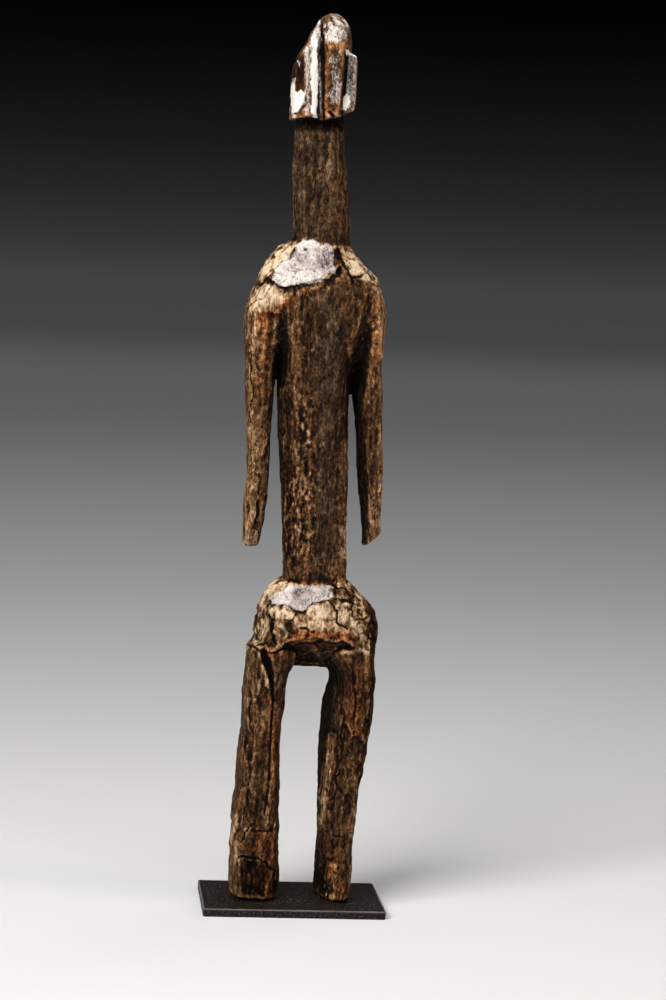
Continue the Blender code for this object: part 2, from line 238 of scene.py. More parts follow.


# Marks of the carving and painted light and shade, placed as seen in the 666 x 1000 picture of its
# back. Each has a name, how soft its edge is in pixels, how strong it is, and its outline in pixels.
marks = {
    "chalk": {
        # yokePatchRim: a painted highlight along the raised lower lip of the yoke patch, in chalk white
        "yokePatchRim": (4, 0.4, [(274, 277), (286, 274), (304, 270), (322, 270), (325, 278),
            (300, 282.5), (285, 287)]),
        "pelvisPatchFoot": (3, 0.2, [(292, 596), (304, 600), (318, 592), (330, 590), (326, 599),
            (310, 606), (302, 611), (294, 605)]),
        "leftFlapDab": (0.8, 0.9, [(298, 61), (300.5, 61), (300.5, 66), (298.5, 66)]),
        "crestStripe": (0.8, 1.0, [(311.5, 38), (315, 34), (317.5, 40), (317.8, 80), (317, 119),
            (314, 119.5), (312, 112), (311.8, 70)]),
        "leftFlapFoot": (1.3, 0.95, [(291, 84), (294, 79), (295, 91), (303, 92), (305, 98), (304, 103),
            (297, 112), (290, 113)]),
        "crestHaze": (5, 0.42, [(325, 27), (333, 23), (341, 27), (345, 34), (341, 40), (330, 40),
            (324, 36)]),
        "rightFlapFoot": (1.5, 0.95, [(343, 98), (349, 91), (349, 104), (346, 110), (342, 109)]),
        "rightFlapTop": (0.9, 0.9, [(347, 50.5), (358, 54.5), (358, 57.5), (347, 53.5)]),
        "crestRightDab": (1.0, 0.7, [(342, 20), (345, 20), (350, 26), (347, 28)]),
        "crestLeftDab": (1.0, 0.8, [(316.5, 20), (320.5, 20), (320.5, 25), (317.5, 25)]),
        "leftFlapTop": (1.5, 0.6, [(309, 43), (312, 45), (308, 53), (303, 52)]),
        "leftFlapCorner": (1.0, 0.6, [(292, 114.5), (298, 114), (297, 118), (293, 118)]),
    },
    "ash": {
        "yokePatch": (1.4, 0.95, [(299, 242), (310, 240), (318, 243), (322, 256), (320, 266), (330, 270),
            (327, 279), (318, 280), (300, 283), (290, 286), (284, 287.5), (278, 285), (270, 277),
            (276, 269), (286, 261), (293, 253)]),
        "yokePatchRight": (3, 0.55, [(316, 242), (330, 246), (338, 250), (338, 262), (334, 271),
            (327, 279), (316, 280)]),
        "pelvisPatch": (1.5, 0.85, [(292, 586), (330, 586), (333, 596), (326, 600), (318, 602),
            (310, 608), (302, 612), (295, 610), (290, 606), (272, 604), (268, 599), (283, 591)]),
        "leftFlapFace": (1.5, 0.4, [(303, 50), (311, 42), (311, 60), (310, 118), (305, 118), (304, 90)]),
        "besideGroove": (1.0, 0.3, [(319, 36), (321, 34), (322, 118), (319, 118)]),
        "crestLeft": (1.5, 0.55, [(310, 38), (318, 23), (322, 28), (321, 38), (318, 41)]),
        "crestCap": (3, 0.5, [(318, 20), (330, 13), (344, 16), (352, 28), (349, 42), (326, 42),
            (322, 32)]),
        "rightFlapFace": (1.2, 0.36, [(347, 53), (358, 56), (357, 90), (354, 113), (349, 111), (345, 96),
            (346, 70)]),
        "headBack": (4, 0.35, [(331, 52), (341, 52), (342, 104), (331, 104)]),
    },
    # tan: pale worn wood, and painted highlights on faces and edges turned to the light: the left shoulder
    # and arm, the right shoulder and trunk edges, the right shin and the heels
    "tan": {
        "belowCrest": (2, 0.5, [(327, 40), (347, 39), (348, 48), (328, 50)]),
        "yokeLeft": (2, 0.95, [(258, 280), (264, 264), (280, 248), (299, 241), (292, 254), (283, 263),
            (270, 275), (262, 283)]),
        "leftShoulder": (3, 0.85, [(247, 312), (254, 288), (266, 284), (284, 289), (285, 300), (272, 306),
            (258, 310), (249, 318)]),
        "yokeRight": (2, 0.85, [(340, 247), (352, 248), (370, 264), (380, 284), (368, 281), (360, 276),
            (352, 276), (344, 262)]),
        "rightShoulderEdge": (2, 0.7, [(374, 286), (386, 296), (387, 360), (379, 360), (376, 310)]),
        "neckFoot": (1.2, 0.9, [(300, 238), (320, 241), (332, 245), (350, 246), (350, 250), (330, 249),
            (300, 243)]),
        "pelvisRim": (2, 0.75, [(282, 576), (292, 584), (330, 585), (344, 577), (352, 582), (346, 590),
            (330, 588), (292, 589), (268, 597), (262, 592)]),
        "pelvisFacet": (3, 0.8, [(294, 612), (304, 614), (312, 606), (336, 606), (340, 630), (292, 631)]),
        "pelvisLeft": (5, 0.35, [(262, 600), (292, 606), (296, 626), (272, 640), (256, 640)]),
        "undercut": (4, 0.35, [(296, 648), (308, 644), (330, 643), (348, 648), (350, 660), (330, 664),
            (292, 664)]),
        "pelvisRight": (5, 0.35, [(338, 600), (352, 592), (368, 612), (372, 650), (346, 640)]),
        "pelvisRightTop": (1.5, 0.6, [(353, 592), (361, 598), (366, 608), (357, 605)]),
        "leftArm": (5, 0.34, [(246, 314), (258, 308), (268, 318), (265, 350), (262, 400), (258, 470),
            (250, 540), (243, 544), (243, 480), (244, 400)]),
        "trunkRightEdge": (2, 0.5, [(340, 440), (348, 442), (348, 562), (341, 562)]),
        "trunkMiddle": (6, 0.18, [(296, 396), (312, 400), (314, 470), (312, 560), (296, 560),
            (292, 480)]),
        "rightShin": (2, 0.9, [(330, 736), (336, 740), (329, 790), (323, 831), (317, 828), (320, 790)]),
        "leftHeelOuter": (2.5, 0.5, [(230, 815), (241, 816), (238, 860), (238, 894), (228, 890)]),
        "rightHeelInner": (2, 0.45, [(328, 861), (339, 861), (338, 876), (332, 880), (327, 872)]),
        "rightHeelSole": (2, 0.2, [(331, 888), (343, 889), (342, 899), (331, 899)]),
        "leftAnkleDab": (1.2, 0.9, [(244, 824), (250, 826), (250, 830), (245, 829)]),
        "splitLip": (0.8, 1.0, [(261, 665), (264, 666), (270, 683), (267, 684)]),
    },
    "bare": {
        "yokeLeft": (1.5, 0.75, [(260, 278), (266, 263), (281, 249), (298, 243), (291, 255), (282, 264),
            (270, 274), (262, 281)]),
        "leftShoulder": (3, 0.6, [(254, 304), (258, 290), (268, 286), (283, 290), (282, 300), (270, 308),
            (260, 310)]),
        "yokeRightUpper": (1.2, 0.85, [(349, 259), (356, 262), (364, 268), (358, 275), (350, 273)]),
        "yokeRightOuter": (1.2, 0.7, [(362, 274), (370, 279), (368, 282), (360, 280)]),
        "yokeRightInner": (1.5, 0.6, [(343, 249), (350, 250), (354, 258), (348, 258)]),
        "pelvisRimLeft": (2, 0.35, [(284, 579), (292, 585), (290, 590), (270, 600), (266, 592)]),
        "pelvisRim": (1.2, 0.6, [(300, 585), (330, 586), (330, 590), (300, 588)]),
        "pelvisLeft": (1.5, 0.6, [(260, 600), (266, 594), (269, 602), (264, 611), (260, 608)]),
        "flakeUnderPatch": (1.2, 0.85, [(269, 606), (292, 607), (297, 613), (292, 620), (275, 620),
            (270, 612)]),
        "flakeFarLeft": (1.0, 1.0, [(265, 613), (270, 620), (268, 630), (262, 643), (257, 641),
            (259, 628)]),
        "flakeLeftSlanted": (1.0, 1.0, [(276, 620), (280, 620), (288, 633), (285, 637), (278, 629)]),
        "facetMiddle": (1.5, 0.8, [(308, 608), (318, 603), (328, 601), (333, 608), (331, 620), (312, 619),
            (306, 613)]),
        "flakeRightInner": (1.0, 0.95, [(340, 610), (348, 610), (349, 620), (344, 627), (339, 622)]),
        "flakeRightSlanted": (1.0, 0.95, [(349, 616), (354, 618), (364, 632), (362, 636), (357, 634),
            (350, 626)]),
        "flakeFarRight": (1.0, 0.95, [(360, 635), (368, 637), (369, 652), (364, 655), (360, 646)]),
        "flakeRightTop": (1.2, 0.75, [(334, 600), (343, 602), (344, 609), (336, 608)]),
    },
    # ember: red-brown earth, and painted warm highlights along lit edges and ledges, such as the right arm's
    # outer edge, the left shoulder's ridge and the left ankle's ledge
    "ember": {
        "leftHeelFace": (3, 0.5, [(257, 868), (272, 872), (273, 896), (260, 897)]),
        "neckRight": (3, 0.45, [(336, 180), (343, 180), (347, 238), (338, 238)]),
        "leftShoulderPool": (2.5, 0.95, [(260, 314), (275, 306), (292, 297), (295, 305), (284, 313),
            (270, 324), (261, 336)]),
        "pelvisLip": (1.5, 0.95, [(289, 634), (300, 630), (330, 632), (345, 628), (352, 636), (357, 647),
            (345, 642), (325, 641), (308, 641), (295, 645), (287, 650)]),
        "pelvisRim": (1.3, 0.8, [(286, 577), (300, 582), (320, 583), (336, 579), (346, 573), (346, 579),
            (330, 586), (300, 586), (286, 581)]),
        "headGrooveEdge": (1.5, 0.6, [(325, 46), (330, 46), (330, 117), (325, 117)]),
        "belowCrest": (3, 0.6, [(325, 40), (348, 38), (350, 49), (340, 53), (326, 52)]),
        "besideRightFlap": (1.5, 0.4, [(341, 50), (348, 50), (346, 64), (342, 92), (338, 92)]),
        "headFoot": (3, 0.5, [(325, 98), (343, 98), (343, 118), (325, 118)]),
        "leftFlapDab": (1.5, 0.55, [(294, 78), (304, 78), (305, 92), (295, 91)]),
        "leftFlapFoot": (1.5, 0.8, [(297, 104), (306, 104), (306, 119), (290, 120), (290, 114)]),
        "leftArmInner": (3, 0.65, [(257, 312), (271, 320), (270, 360), (264, 400), (258, 400), (260, 345),
            (255, 330)]),
        "rightArmInner": (2, 0.8, [(373, 296), (379, 298), (381, 360), (375, 362)]),
        "leftHipFoot": (2, 0.8, [(262, 645), (280, 650), (284, 657), (272, 661), (262, 654)]),
        "rightThigh": (4, 0.6, [(348, 668), (364, 662), (365, 690), (358, 740), (346, 745), (348, 700)]),
        "leftShinInner": (3, 0.7, [(268, 700), (284, 690), (281, 760), (272, 800), (269, 750)]),
        "leftAnkle": (2.5, 0.75, [(250, 836), (278, 832), (278, 847), (252, 850)]),
        "leftAnkleInner": (2, 0.85, [(261, 849), (278, 855), (277, 868), (266, 864)]),
        "rightAnkleInner": (2.5, 0.6, [(317, 832), (330, 833), (330, 852), (317, 853)]),
        "rightHeelTop": (2, 0.7, [(328, 853), (343, 856), (337, 862), (331, 880), (326, 870)]),
        "rightSole": (2.5, 0.6, [(331, 884), (346, 882), (345, 900), (330, 900)]),
        "trunkTopLeft": (2.5, 0.6, [(300, 288), (310, 289), (309, 298), (301, 297)]),
        "trunkTopRight": (2, 0.6, [(341, 295), (347, 295), (347, 314), (342, 314)]),
    },
    # soot: soot, dark cracks and holes, and painted shade: in the armpits, under the head, down the shaded
    # sides of the arms, trunk and legs, in the undercut and the heel hollows, and a painted contact shadow
    # under each sole
    "sootAndShade": {
        "crestCrackLeft": (1.2, 0.45, [(326, 14), (332, 17), (338, 24), (335, 26), (329, 20)]),
        "crestCrackMiddle": (1.2, 0.5, [(322, 19), (327, 24), (331, 32), (328, 33), (322, 26)]),
        "crestCrackRight": (1.0, 0.4, [(336, 15), (343, 18), (348, 26), (345, 28), (339, 20)]),
        "crestRightSide": (2.0, 0.35, [(343, 30), (350, 32), (350, 46), (345, 44)]),
        "leftFoot": (6, 0.2, [(226, 846), (282, 846), (282, 906), (226, 900)]),
        "rightFoot": (6, 0.28, [(308, 850), (354, 850), (354, 906), (308, 906)]),
        "crestLeftSmoke": (2, 0.4, [(319, 19), (327, 15), (331, 20), (325, 30), (320, 30)]),
        "crestRightSmoke": (2, 0.3, [(342, 24), (350, 28), (351, 40), (345, 40)]),
        "rightFlapFace": (1.5, 0.08, [(350, 62), (355, 62), (353, 95), (350, 95)]),
        "neckLeft": (5, 0.28, [(298, 150), (314, 150), (314, 238), (300, 236)]),
        "trunkHole": (2, 0.6, [(303, 455), (309, 454), (309, 476), (304, 478)]),
        "trunkHoleLow": (2, 0.65, [(299, 520), (307, 514), (306, 546), (299, 549)]),
        "trunkHoleRight": (2, 0.5, [(311, 535), (316, 533), (316, 556), (311, 556)]),
        "trunkHoleTop": (2, 0.4, [(296, 418), (301, 416), (302, 440), (297, 444)]),
        "leftShinOuter": (6, 0.3, [(243, 745), (256, 735), (262, 770), (262, 815), (248, 815)]),
        "rightShinOuter": (5, 0.35, [(335, 700), (345, 720), (352, 790), (350, 828), (336, 828),
            (334, 760)]),
        "headFootEdge": (1.0, 0.5, [(303, 114), (308, 117), (316, 115.5), (324, 117), (324, 121),
            (303, 121)]),
        "crestBandLeft": (1.5, 0.45, [(327, 16), (333, 18), (339, 27), (334, 26)]),
        "crestBandLow": (1.5, 0.5, [(319, 22), (324, 24), (328, 33), (322, 32)]),
        "crestBandRight": (2.5, 0.35, [(339, 26), (345, 27), (345, 36), (339, 35)]),
        "leftArmpit": (5, 0.2, [(278, 322), (286, 320), (291, 330), (291, 372), (284, 382), (277, 376),
            (276, 345)]),
        "rightArmpit": (6, 0.15, [(363, 300), (372, 296), (372, 330), (367, 380), (360, 412), (351, 414),
            (349, 392), (350, 350), (356, 320)]),
        "rightArmInner": (3, 0.4, [(356, 398), (366, 388), (367, 470), (367, 540), (361, 545),
            (357, 470)]),
        "trunkLeftSide": (3, 0.5, [(280, 380), (292, 376), (294, 480), (294, 562), (283, 562),
            (280, 470)]),
        "spine": (8, 0.16, [(312, 330), (344, 320), (342, 380), (336, 460), (332, 560), (314, 560),
            (316, 470), (318, 400)]),
        "undercut": (1.2, 0.12, [(287, 651), (296, 645), (308, 642), (325, 641.5), (345, 643), (353, 648),
            (356, 662), (350, 674), (330, 670), (287, 670)]),
        "rightLegOuter": (2, 0.6, [(367, 594), (378, 608), (379, 650), (376, 700), (366, 790), (358, 832),
            (353, 832), (358, 790), (366, 700), (368, 650)]),
        "leftLegSplit": (1.2, 1.0, [(261, 652), (266, 653), (272, 664), (275, 676), (277, 702),
            (272, 702), (268, 684), (263, 668)]),
        "rightLegInner": (2, 0.4, [(326, 668), (334, 676), (331, 720), (323, 760), (317, 815), (314, 832),
            (310, 832), (312, 780), (318, 700)]),
        "leftHeelHollow": (1.5, 0.62, [(240, 858), (258, 859), (270, 864), (276, 874), (277, 896),
            (258, 898), (241, 893)]),
        "rightHeelHollow": (1.5, 0.95, [(308, 871), (320, 868), (324, 880), (328, 900), (309, 900)]),
        "rightAnkle": (1.5, 0.7, [(330, 840), (347, 836), (351, 842), (344, 848), (331, 848)]),
        "headGroove": (0.8, 0.7, [(321, 28), (323, 28), (325, 60), (324.5, 119), (322.5, 119),
            (322, 70)]),
        "rightFlapGap": (0.9, 0.85, [(346, 50), (348, 52), (346, 80), (343, 113), (340, 113), (343, 90)]),
        "leftFlapHollow": (1.5, 0.6, [(296, 60), (303, 55), (304, 78), (302, 84), (294, 84), (293, 72)]),
        "underHead": (2, 0.85, [(290, 120.5), (300, 121), (330, 118.5), (346, 119), (348, 129),
            (290, 131)]),
        "leftSoleEdge": (1.3, 0.9, [(228, 891), (244, 897), (276, 901), (276, 908), (226, 900)]),
        "rightSoleEdge": (1.3, 0.9, [(310, 897), (328, 901), (346, 898), (352, 893), (352, 907),
            (310, 908)]),
        "yokeSplit": (1.5, 0.7, [(334, 248), (340, 247), (341, 260), (346, 270), (340, 277), (334, 262)]),
        "yokeLeftHole": (1.3, 0.8, [(256, 285), (263, 277), (270, 275), (272, 284), (264, 288)]),
        "yokePatchHole": (1.3, 0.8, [(277, 287), (288, 286), (286, 293), (279, 292)]),
        "yokeRightHole": (1.3, 0.8, [(350, 276), (363, 275), (362, 284), (352, 285)]),
        "pelvisLeftHollow": (1.5, 0.7, [(269, 612), (275, 612), (277, 640), (271, 645), (268, 630)]),
        "pelvisMiddleHollow": (1.5, 0.6, [(286, 620), (293, 620), (292, 633), (287, 632)]),
        "pelvisRightCrack": (1.0, 0.8, [(349, 587), (354, 590), (354, 614), (350, 617), (347, 604)]),
        "pelvisRimHollow": (1.2, 0.65, [(330, 583), (341, 586), (339, 593), (331, 590)]),
    },
    "crust": {
        "trunkMiddle": (6, 1.0, [(296, 390), (314, 396), (316, 470), (316, 562), (286, 562), (288, 480),
            (294, 440)]),
        "trunkRight": (4, 0.7, [(338, 500), (348, 500), (348, 562), (336, 562)]),
        "pelvisLeft": (5, 0.7, [(256, 608), (276, 606), (290, 634), (286, 648), (258, 650)]),
        "pelvisRight": (5, 0.8, [(330, 584), (366, 596), (376, 640), (352, 640)]),
        "leftShoulder": (5, 0.5, [(244, 316), (262, 312), (264, 344), (246, 350)]),
    },
    "glaze": {
        "spine": (6, 0.7, [(312, 300), (344, 290), (342, 380), (336, 460), (332, 560), (314, 560),
            (316, 470), (318, 400)]),
        "neck": (6, 0.6, [(286, 124), (350, 122), (354, 240), (286, 238)]),
        "leftThigh": (3, 0.6, [(272, 656), (288, 658), (284, 690), (280, 740), (274, 740)]),
    },
}

# Bare patches that are chips, and how deep each is in millimetres.
chipDepths = {
    "flakeUnderPatch": 0.5, "flakeFarLeft": 1.6, "flakeLeftSlanted": 1.4, "facetMiddle": 0.4,
    "flakeRightInner": 1.2, "flakeRightSlanted": 1.5, "flakeFarRight": 1.4, "flakeRightTop": 0.8,
}

# Places where ledges left by the rough shaping are rubbed down: how many rounds, and the outline.
easedEdge = 5  # pixels from the outline to the full wear
easedForms = {
    "rightThighTop": (60, [(324, 660), (334, 652), (366, 650), (370, 700), (352, 726), (322, 712)]),
    "leftAnkle": (20, [(230, 835), (279, 835), (279, 856), (230, 856)]),
    "rightAnkle": (30, [(310, 826), (356, 826), (354, 866), (310, 866)]),
}

# Cuts and cracks: a line of pixels with its width in pixels and its depth in millimetres, one
# number or one a point; below zero it stands proud. "under" lowers the side below the line instead,
# and paints shadow under the ledge; "dark" is how much dirt and painted shade it holds.
cuts = {
    "leftArmpit": {"line": [(282, 312), (283, 330), (284, 352), (281, 382)], "width": [6, 15, 17, 14],
        "depth": [0.5, 4, 8, 8], "dark": 0.05},
    "rightArmpit": {"line": [(370, 290), (367, 320), (361, 350), (357, 385), (353, 414)],
        "width": [6, 12, 20, 20, 10], "depth": [0.5, 2.5, 7, 8, 5], "dark": 0.05},
    "yokePatchEdge": {"line": [(268, 276), (278, 285), (284, 287.5), (292, 286), (300, 283), (318, 280),
        (328, 279), (335, 270)], "width": 10, "depth": 2.0, "under": True},
    "pelvisLip": {"line": [(287, 649), (295, 644.5), (308, 641), (325, 640.5), (343, 641.5), (353, 647)],
        "width": [4, 12, 14, 14, 12, 3], "depth": [1, 4, 5, 5, 4, 1], "under": True},
    "neckFootRidge": {"line": [(296, 243), (305, 240), (320, 243), (331, 247), (350, 248)], "width": 2.5,
        "depth": -0.8},
    "yokeLeftHole": {"line": [(261, 285), (266, 279), (270, 275)], "width": 2.6, "depth": 2.0},
    "yokePatchHole": {"line": [(281, 288), (290, 286.5)], "width": 3, "depth": 2.2},
    "yokeLeftScoreTop": {"line": [(292, 245), (279, 254), (264, 265)], "width": 2, "depth": 1.1},
    "yokeLeftScoreLow": {"line": [(294, 255), (282, 262), (270, 272)], "width": 2, "depth": 1.1},
    "leftShoulderScore": {"line": [(272, 284), (264, 296), (250, 306)], "width": 2, "depth": 1.0},
    "yokePegHole": {"line": [(305, 249.5), (306.5, 249.7)], "width": 3, "depth": 3.0},
    "yokeSplit": {"line": [(338, 249), (341, 258), (345, 266), (350, 275), (354, 281)], "width": 3,
        "depth": 2.0},
    "yokeRightHole": {"line": [(352, 276), (361, 276), (366, 271), (373, 279)], "width": 2.4,
        "depth": 1.6},
    "yokeRightScore": {"line": [(352, 252), (362, 264), (374, 278)], "width": 2, "depth": 1.0},
    "rightArmRidge": {"line": [(374, 290), (375, 320), (373, 360), (369, 410)], "width": 3,
        "depth": -1.0},
    "trunkScore": {"line": [(291, 484), (291.5, 496), (291, 513)], "width": 2.4, "depth": 2.2},
    "leftArmScoreLow": {"line": [(259, 474), (258, 500), (257.5, 520), (256, 541)], "width": 2,
        "depth": 1.0, "dark": 0.5},
    "leftArmScoreTop": {"line": [(250, 352), (252, 380), (250, 420)], "width": 2, "depth": 1.0},
    "pelvisPatchEdge": {"line": [(270, 604), (290, 606), (296, 611), (303, 612.5), (310, 608),
        (318, 602.5), (329, 600)], "width": 2.2, "depth": 1.3},
    "pelvisFlakeEdge": {"line": [(268, 600), (272, 606), (270, 614), (274, 620), (293, 620), (298, 612)],
        "width": 2, "depth": 1.2},
    "pelvisLeftHollow": {"line": [(269, 612), (272, 622), (272, 634), (276, 643)], "width": 4,
        "depth": 2.0},
    "pelvisRightCrack": {"line": [(330, 584), (336, 588), (347, 590), (350, 598), (352, 606), (350, 616),
        (356, 621), (367, 618)], "width": 2.4, "depth": 1.6},
    "pelvisRightFork": {"line": [(330, 590), (328, 600), (334, 606), (338, 614), (337, 622), (346, 629)],
        "width": 2.2, "depth": 1.5},
    "pelvisRightBranch": {"line": [(336, 600), (345, 600), (350, 604)], "width": 2, "depth": 1.2},
    "pelvisNick": {"line": [(298, 629), (306, 628), (314, 630)], "width": 2.2, "depth": 1.2},
    "leftHipFoot": {"line": [(248, 644), (256, 648), (263, 652), (272, 653), (282, 650), (287, 648)],
        "width": 2.8, "depth": 2.0},
    "leftLegSplit": {"line": [(264, 652), (267, 662), (270, 672), (272, 686), (273, 700), (271, 725),
        (270, 752), (268, 790), (264, 815)], "width": [8, 9, 7, 4.5, 3.4, 2.6, 2.4, 2.4, 2],
        "depth": [4, 6, 5, 3.2, 2.4, 1.6, 1.3, 1.1, 0.6], "dark": 0.6},
    "splitLip": {"line": [(262, 666), (265, 674), (268.5, 683)], "width": 2.6, "depth": -3.0},
    "leftShinScore": {"line": [(250, 700), (252, 740), (248, 790), (243, 820)], "width": 2.2,
        "depth": 0.7, "dark": 0.4},
    "rightShinRidge": {"line": [(334, 690), (332, 740), (326, 790), (320, 830)], "width": 6,
        "depth": -1.4},
    "rightShinScore": {"line": [(340, 690), (343, 730), (339, 770), (333, 800)], "width": 2.4,
        "depth": 1.1, "dark": 0.5},
    "rightThighScore": {"line": [(352, 664), (356, 700), (352, 750)], "width": 2.2, "depth": 0.8,
        "dark": 0.5},
    "leftAnkleStep": {"line": [(254, 829), (262, 831), (277, 829)], "width": 4, "depth": 0.9,
        "dark": 0.4},
    "leftHeelHollow": {"line": [(240, 857), (256, 857.5), (266, 862), (274, 872), (276, 886)], "width": 3,
        "depth": 1.4, "dark": 0.6},
    "leftAnkleNick": {"line": [(240, 842), (244, 834), (250, 826)], "width": 2.2, "depth": 1.2},
    "leftHeelScore": {"line": [(251, 862), (252, 880), (250, 896)], "width": 2.4, "depth": 1.4},
    "rightHeelStep": {"line": [(321, 857), (328, 860), (335, 858)], "width": 3, "depth": 0.6,
        "dark": 0.4},
    "rightAnkleStep": {"line": [(326, 832), (334, 836), (343, 837), (352, 833)], "width": 3, "depth": 0.6,
        "dark": 0.35},
    "rightHeelHollow": {"line": [(320, 868), (323, 880), (328, 890), (329, 900)], "width": 2.6,
        "depth": 1.8},
    "headGroove": {"line": [(321.5, 27), (323, 45), (323.5, 70), (323.5, 119)], "width": 3, "depth": 1.6},
    "rightFlapGap": {"line": [(347, 50), (345.5, 75), (342, 112)], "width": 2.4, "depth": 1.8},
    "leftFlapScore": {"line": [(304, 90), (306, 102), (303, 106), (295, 114)], "width": 2.2,
        "depth": 1.4},
    "crestCrackMiddle": {"line": [(331, 16), (334, 21), (338, 26)], "width": 2, "depth": 0.9},
    "crestCrackLeft": {"line": [(320, 23), (327, 31)], "width": 2, "depth": 0.9},
    "crestCrackRight": {"line": [(337, 17), (344, 23)], "width": 2, "depth": 0.9},
    "headFootNickLeft": {"line": [(321, 112), (321, 121)], "width": 2.4, "depth": 1.5},
    "headFootNickMiddle": {"line": [(331, 112), (331, 121)], "width": 3, "depth": 1.8},
    "headFootNickRight": {"line": [(341, 110), (341, 120)], "width": 2.4, "depth": 1.5},
}


def photoPlaces(points):
    # where points of the frame show in the picture, in pixels
    right, up, forward = (np.array(axis) for axis in cameraAxes())
    away = points - np.array(cameraSetup["place"])
    depth = away @ forward
    width, height = cameraSetup["frame"]
    across = width / 2 + cameraSetup["focalPixels"] * (away @ right) / depth
    down = height / 2 - cameraSetup["focalPixels"] * (away @ up) / depth
    return np.stack((across, down), 1)


def insideDistance(places, outline):
    # distance to an outline in pixels, positive inside it
    outline = np.array(outline, float)
    nearest = np.full(len(places), np.inf)
    inside = np.zeros(len(places), bool)
    for start, end in zip(outline, np.roll(outline, -1, axis=0)):
        run = end - start
        share = np.clip(((places - start) @ run) / (run @ run), 0, 1)
        nearest = np.minimum(nearest, np.linalg.norm(places - start - share[:, None] * run, axis=1))
        if start[1] != end[1]:
            crossing = (start[1] > places[:, 1]) != (end[1] > places[:, 1])
            edge = start[0] + (places[:, 1] - start[1]) * run[0] / run[1]
            inside ^= crossing & (places[:, 0] < edge)
    return np.where(inside, nearest, -nearest)


def lineDistance(places, line):
    # distance to an open line in pixels, the side of it (below is positive) and the place along it
    line = np.array(line, float)
    nearest = np.full(len(places), np.inf)
    side, along = np.zeros(len(places)), np.zeros(len(places))
    for index, (start, end) in enumerate(zip(line, line[1:])):
        run = end - start
        away = places - start
        share = np.clip((away @ run) / (run @ run), 0, 1)
        gap = np.linalg.norm(away - share[:, None] * run, axis=1)
        closer = gap < nearest
        nearest[closer] = gap[closer]
        side[closer] = (run[0] * away[:, 1] - run[1] * away[:, 0])[closer]
        along[closer] = (index + share)[closer]
    return nearest, side, along


def easeStep(values, low, high):
    share = np.clip((values - low) / (high - low), 0, 1)
    return share * share * (3 - 2 * share)


# The carving: a copy of the plain solid, remeshed fine enough to carry tool marks.
carvingSetup = {
    "mergeWithin": 0.00002,  # metres
    "cell": 0.0017,  # metres between mesh points
    "soften": 0.5,
    "softenRounds": 5,
    "keptShare": 0.74,  # share of the triangles left at the end, the flattest going first
    "seed": 71,
}

# Between which heights, in millimetres, each broad part of the figure begins and where it ends.
zoneHeights = {
    "head": {"from": (772, 780)},
    "shoulders": {"from": (612, 640), "to": (655, 662)},
    "pelvis": {"from": (245, 262), "to": (326, 334)},
    "legs": {"to": (230, 262)},
    "feet": {"to": (10, 16)},
}

# Facets left by the adze: how many, how long a cell is against its width, how much a turn of the
# surface parts two cells, how far the planes tip in degrees, and the deepest shaving in millimetres.
facetSetup = {
    "count": 1150, "stretch": 0.62, "turn": 15, "tip": 7.0, "deepest": 2.2,
    "formRounds": 8,  # the facets follow the surface's turn averaged this often
    "edgeRounds": 1,  # and their edges are worn by this much averaging
    "batch": 4000,  # points sorted into cells at a time, to spare memory
}

# How strongly the adze shows on each part, and what share of the tool marks paint and glaze fill.
adzeShares = {"strength": 0.85, "legs": 0.55, "elsewhere": 0.3, "headLess": 0.65}
filledShares = {"paint": 0.85, "glaze": 0.7, "paintOnBody": 0.75, "headOnBody": 0.45, "grain": 0.6}

# Relief layers: kind of noise, its feature size across, deep and along in millimetres, the depth
# in millimetres, and the group of points that it works on.
reliefLayers = {
    "lumps": {"kind": "CLOUDS", "size": (26, 26, 70), "depth": 2.0, "zone": "body"},
    "longRidges": {"kind": "CLOUDS", "size": (6.0, 6.0, 60), "depth": 1.5, "zone": "grained"},
    "grain": {"kind": "CLOUDS", "size": (3.4, 3.4, 20), "depth": 0.9, "zone": "grained"},
    "chips": {"kind": "VORONOI", "size": (7, 7, 9), "depth": 1.3, "zone": "adzed"},
    "crumbs": {"kind": "CLOUDS", "size": (5.0, 5.0, 8.5), "depth": 3.6, "zone": "crusted"},
    "pits": {"kind": "CLOUDS", "size": (3.4, 3.4, 4.6), "depth": 0.9, "zone": "body"},
}
reliefTurn = (0.02, 0.03, 0.4)  # radians off the axes, so that no pattern lines up with them


def readPoints(mesh, field="co"):
    source = mesh.vertices if field == "co" else mesh.vertex_normals
    values = np.empty(len(mesh.vertices) * 3, np.float32)
    source.foreach_get("co" if field == "co" else "vector", values)
    return values.reshape(-1, 3).astype(float)


def writePoints(mesh, points):
    mesh.vertices.foreach_set("co", points.astype(np.float32).ravel())
    mesh.update()


def meshEdges(mesh):
    edges = np.empty(len(mesh.edges) * 2, np.int32)
    mesh.edges.foreach_get("vertices", edges)
    return edges.reshape(-1, 2)


def spread(values, edges, rounds):
    # averages each point's value with its neighbours', several times over
    count = np.bincount(edges.ravel(), minlength=len(values))
    count = count.reshape(-1, *(1,) * (values.ndim - 1))
    for _ in range(rounds):
        total = np.zeros_like(values)
        np.add.at(total, edges[:, 0], values[edges[:, 1]])
        np.add.at(total, edges[:, 1], values[edges[:, 0]])
        values = 0.5 * values + 0.5 * total / count
    return values


